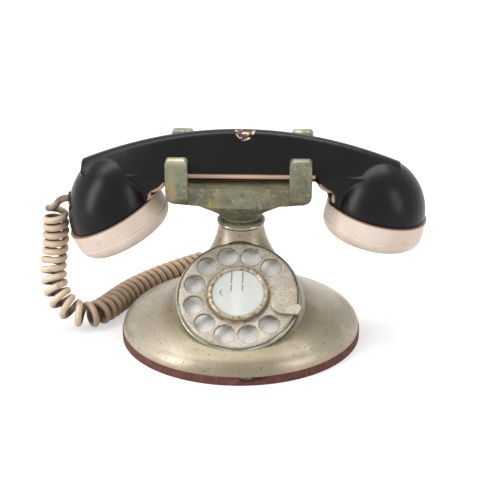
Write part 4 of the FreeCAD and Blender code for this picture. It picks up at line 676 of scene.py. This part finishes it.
# Rays from a hole's middle, with the sector's middle on the x axis, and how far each is from the
# sector's edge: the nearest of its meetings with the two straight sides and the two arcs
def sectorRays():
    half = math.radians(dial["holeStep"] / 2)
    inner, outer, out = wheel["inner"], wheel["outer"], dial["holeCircle"]
    corners = [math.atan2(r * math.sin(a), r * math.cos(a) - out)
               for r, a in ((outer, -half), (outer, half), (inner, half), (inner, -half))]
    corners = np.unwrap(corners + [corners[0] + 2 * math.pi])
    turn = np.concatenate([np.linspace(start, end, wheel["side"], endpoint=False)
                           for start, end in zip(corners[:-1], corners[1:])])
    way = np.stack([np.cos(turn), np.sin(turn)], axis=1)
    hits = []
    for angle in (-half, half):
        with np.errstate(divide="ignore"):
            hits.append(math.sin(angle) * out / (math.cos(angle) * way[:, 1] - math.sin(angle) * way[:, 0]))
    for radius in (inner, outer):
        under = (out * way[:, 0]) ** 2 - (out * out - radius * radius)
        root = np.sqrt(np.maximum(under, 0))
        hits += [np.where(under > 0, -out * way[:, 0] + sign * root, np.inf) for sign in (-1, 1)]
    hits = np.array(hits)
    hits[~(hits > 1e-6)] = np.inf
    return way, hits.min(axis=0)


# A sector with a hole: each point is the hole's middle plus a ray times a length, which goes up
# and over the hole's edge and then by shares of the way to the sector's edge. Gives its top, its
# underside and the points along its edge.
def holeSector():
    way, reach = sectorRays()
    sheet, last = wheel["sheet"], wheel["holeEdge"][-1][0]
    rows = [(wheel["holeEdge"][0][0], -sheet)] + wheel["holeEdge"]
    rows += [(last + (reach - last) * share, 0.0) for share in (0.5, 1.0)] + [(reach, -sheet)]
    middle = np.array((dial["holeCircle"], 0.0))
    rings = [np.column_stack([middle + (way.T * length).T, np.full(len(way), height)]) for length, height in rows]
    top = np.concatenate(rings[:-1]), gridFaces(len(rings) - 1, len(way), True)
    under = np.concatenate([rings[-1], rings[0]]), gridFaces(2, len(way), True)
    return top, under, rings[-2]


# A sector with no hole: rows of points at the radii that the sides have, each at angles that go
# by shares from the inner arc's to the outer arc's
def blankSector(onSide, onInner, onOuter, height):
    share = (onSide - wheel["inner"]) / (wheel["outer"] - wheel["inner"])
    even = np.linspace(0, 1, wheel["side"] + 1)
    inner, outer = (np.interp(even, np.linspace(0, 1, len(arc)), arc) for arc in (onInner, onOuter))
    angles = inner[None, :] * (1 - share[:, None]) + outer[None, :] * share[:, None]
    points = np.stack([onSide[:, None] * np.cos(angles), onSide[:, None] * np.sin(angles),
                       np.full(angles.shape, height)], axis=-1).reshape(-1, 3)
    return points, gridFaces(len(onSide), wheel["side"] + 1, False)


def rimProfile():  # from the sheet round the top corner, down the lip and up inside it, as (radius, height)
    rim, lip, rounding, edge = dial["wheelRadius"], wheel["lip"], wheel["round"], wheel["lipEdge"]
    inside = rim - wheel["lipWall"]
    corner = [(rim - rounding + rounding * math.cos(b), -rounding + rounding * math.sin(b))
              for b in np.linspace(math.pi / 2, 0, wheel["roundSteps"])]
    return [(wheel["outer"], 0.0)] + corner + [(rim, -lip + edge), (rim - edge, -lip), (inside + edge, -lip),
                                               (inside, -lip + edge), (inside, -wheel["sheet"]),
                                               (wheel["outer"], -wheel["sheet"])]


def turnedSkin(profile, angles):  # a profile of (radius, height) carried round the given angles
    profile = np.array(profile)
    points = np.stack([profile[:, 0, None] * np.cos(angles), profile[:, 0, None] * np.sin(angles),
                       np.repeat(profile[:, 1, None], len(angles), axis=1)], axis=-1)
    return points.reshape(-1, 3), gridFaces(len(profile), len(angles), True)


def joinSkins(skins):
    vertices, faces, count = [], [], 0
    for points, quads in skins:
        vertices.append(points)
        faces.append(quads + count)
        count += len(points)
    return np.concatenate(vertices), np.concatenate(faces)


def intoDial(points):  # from the dial's own frame, in millimetres, to the model's, in metres
    lean = math.radians(dial["lean"])
    turn = np.array([(1, 0, 0), (0, math.cos(lean), -math.sin(lean)), (0, math.sin(lean), math.cos(lean))])
    return (points @ turn.T + np.array(dial["centre"])) * mm


# Welds the seams, points the faces outwards and keeps edges sharper than the angle sharp
def tidyMesh(piece, weld=0.002, angle=40.0):
    work = bmesh.new()
    work.from_mesh(piece.data)
    bmesh.ops.remove_doubles(work, verts=work.verts, dist=weld * mm)
    bmesh.ops.recalc_face_normals(work, faces=work.faces)
    for edge in work.edges:
        edge.smooth = len(edge.link_faces) != 2 or edge.calc_face_angle(0.0) < math.radians(angle)
    work.to_mesh(piece.data)
    work.free()
    return piece


def pressWheel():
    top, under, edge = holeSector()
    radius, angle = np.linalg.norm(edge[:, :2], axis=1), np.arctan2(edge[:, 1], edge[:, 0])
    onSide = np.sort(radius[np.abs(angle - math.radians(dial["holeStep"] / 2)) < 1e-9])
    onInner, onOuter = (np.sort(angle[np.abs(radius - wheel[arc]) < 1e-6]) for arc in ("inner", "outer"))
    blanks = [blankSector(onSide, onInner, onOuter, height) for height in (0.0, -wheel["sheet"])]
    skins, outerAngles, innerAngles = [], [], []
    for sector in range(round(360 / dial["holeStep"])):
        centre = math.radians(dial["holeStep"] * (sector + 0.5))
        turn = np.array([(math.cos(centre), math.sin(centre), 0), (-math.sin(centre), math.cos(centre), 0),
                         (0, 0, 1)])
        outerAngles.append(onOuter[:-1] + centre)
        innerAngles.append(onInner[:-1] + centre)
        for points, faces in (top, under) if 1 <= sector <= dial["holes"] else blanks:
            skins.append((points @ turn, faces))
    skins.append(turnedSkin(rimProfile(), np.concatenate(outerAngles)))
    hub = [(wheel["inner"], 0.0), (wheel["bore"], 0.0), (wheel["bore"], -wheel["sheet"]),
           (wheel["inner"], -wheel["sheet"])]
    skins.append(turnedSkin(hub, np.concatenate(innerAngles)))
    points, faces = joinSkins(skins)
    piece = tidyMesh(newPiece("fingerWheel", intoDial(points), faces, "lacqueredSteel"))
    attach(piece, "dial")
    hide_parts("finger_wheel")
    print("finger wheel faces:", len(piece.data.polygons))


pressWheel()


# The card's window: a clear disc just clear of the card. Its top is very slightly domed: at a
# share s of the radius its height is the edge's plus the rise times (1 - s squared).
window = {"radius": 16.05, "low": 1.97, "edge": 2.50, "rise": 0.19, "around": 96, "rings": 12, "middle": 0.02}


def pressWindow():
    radius, around = window["radius"], window["around"]
    dome = [(radius * share, window["edge"] + window["rise"] * (1 - share * share))
            for share in np.linspace(1, window["middle"], window["rings"])]
    profile = [(radius * window["middle"], window["low"]), (radius, window["low"])] + dome
    points, faces = turnedSkin(profile, np.linspace(0, 2 * math.pi, around, endpoint=False))
    closed = capped(faces, len(profile), around)
    piece = tidyMesh(newPiece("cardWindow", intoDial(points), closed, "clearCelluloid"))
    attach(piece, "dial")
    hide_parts("card_window")
    print("card window faces:", len(piece.data.polygons))


pressWindow()

# The plunger's spring as wound wire: a helix that rises evenly, but for a sine wave that draws
# its end turns together. Lengths in millimetres.
spring = {"middle": (0.0, 15.0), "low": 82.7, "high": 98.0, "radius": 2.95, "wire": 0.5, "turns": 7.0,
          "turnSteps": 28, "closed": 0.06, "around": 8}


def windSpring():
    share = np.linspace(0, 1, int(spring["turns"] * spring["turnSteps"]))
    rise = spring["high"] - spring["low"] - 2 * spring["wire"]
    height = spring["low"] + spring["wire"] + rise * (share - spring["closed"] * np.sin(2 * math.pi * share))
    turn = share * spring["turns"] * 2 * math.pi
    line = np.stack([spring["middle"][0] + spring["radius"] * np.cos(turn),
                     spring["middle"][1] + spring["radius"] * np.sin(turn), height], axis=1) * mm
    vertices, faces = tubeAlong(line, spring["wire"] * mm, spring["around"])
    piece = newPiece("plungerSpring", vertices, faces, "millSteel")
    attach(piece, "base")
    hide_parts("plunger_spring")
    print("plunger spring faces:", len(piece.data.polygons))


windSpring()

# Studio, in metres and watts: a pale floor, a soft white surround, a tall light on each side and
# one above. Surround and backdrop are the world's strength as light and as the camera sees it.
studio = {"surround": 0.62, "backdrop": 1.0, "floorSize": 6.0, "floorGrey": 0.55, "floorGlow": 0.5,
          "aim": (0, 0, 0.06),
          "lights": [("keyLight", (-1.15, -0.60, 0.68), (0.42, 1.35), 14.0),
                     ("fillLight", (1.0, -0.65, 0.6), (0.35, 0.9), 4.0),
                     ("topLight", (-0.15, 0.30, 1.25), (1.5, 0.5), 12.0)]}


def softLight(name, place, size, power):
    data = bpy.data.lights.new(name, "AREA")
    data.shape = "RECTANGLE"
    data.size, data.size_y = size
    data.energy = power
    light = bpy.data.objects.new(name, data)
    light.location = place
    bpy.context.scene.collection.objects.link(light)
    light.rotation_mode = "QUATERNION"
    light.rotation_quaternion = (Vector(studio["aim"]) - light.location).to_track_quat("-Z", "Y")


def seenDirectly(tree, other, direct):  # one strength for the camera, mirrors and glass, and another for light
    path = addNode(tree, "ShaderNodeLightPath")
    rays = ("Is Camera Ray", "Is Glossy Ray", "Is Transmission Ray")
    seen = merged(tree, *(path.outputs[ray] for ray in rays))
    return addNode(tree, "ShaderNodeMapRange", {"Value": seen, "To Min": other, "To Max": direct}).outputs[0]


def floorPaper():  # white backdrop paper, which glows a little where it is looked at
    material = bpy.data.materials.new("floorPaper")
    material.use_nodes = True
    tree = material.node_tree
    values = {"Base Color": (studio["floorGrey"],) * 3 + (1,), "Roughness": 0.9, "Specular IOR Level": 0.1,
              "Emission Color": (1, 1, 1, 1), "Emission Strength": seenDirectly(tree, 0.0, studio["floorGlow"])}
    for key, value in values.items():
        feed(tree, tree.nodes["Principled BSDF"].inputs[key], value)
    return material


def makeStudio():
    half = studio["floorSize"]
    finishes["floorPaper"] = floorPaper()
    floor = newPiece("studioFloor", [(-half, -half, 0), (half, -half, 0), (half, half, 0), (-half, half, 0)],
                     [[0, 1, 2, 3]], "floorPaper", smooth=False)
    world = bpy.data.worlds.new("surround")
    world.use_nodes = True
    tree = world.node_tree
    sky = tree.nodes["Background"]
    sky.inputs["Color"].default_value = (1, 1, 1, 1)
    feed(tree, sky.inputs["Strength"], seenDirectly(tree, studio["surround"], studio["backdrop"]))
    scene = bpy.context.scene
    scene.world = world
    for light in studio["lights"]:
        softLight(*light)
    scene.view_settings.view_transform = "Standard"
    scene.view_settings.look = "None"
    print("lights set:", len(studio["lights"]))


makeStudio()

# The camera stands where the photograph was taken from: 1.2 m off, a little to the right and
# 23.5 degrees above level. Its shift is a share of the photograph's 480 pixels.
camera = {"target": (0.0, 0.0, 70.0), "azimuth": 3.0, "elevation": 23.5, "distance": 1200.0, "lens": 143.1,
          "sensor": 36.0, "roll": 0.5, "shift": (0.0, -7.3 / 480)}


def makeCamera():
    azimuth, elevation = math.radians(camera["azimuth"]), math.radians(camera["elevation"])
    away = Vector((math.sin(azimuth) * math.cos(elevation), -math.cos(azimuth) * math.cos(elevation),
                   math.sin(elevation)))
    data = bpy.data.cameras.new("camera")
    data.lens = camera["lens"]
    data.sensor_width = camera["sensor"]
    data.shift_x, data.shift_y = camera["shift"]
    holder = bpy.data.objects.new("camera", data)
    bpy.context.scene.collection.objects.link(holder)
    target = Vector(camera["target"]) * mm
    holder.location = target + away * camera["distance"] * mm
    roll = Matrix.Rotation(math.radians(-camera["roll"]), 4, "Z")
    holder.rotation_mode = "QUATERNION"
    holder.rotation_quaternion = ((-away).to_track_quat("-Z", "Y").to_matrix().to_4x4() @ roll).to_quaternion()
    bpy.context.scene.camera = holder


makeCamera()
print("pieces made")
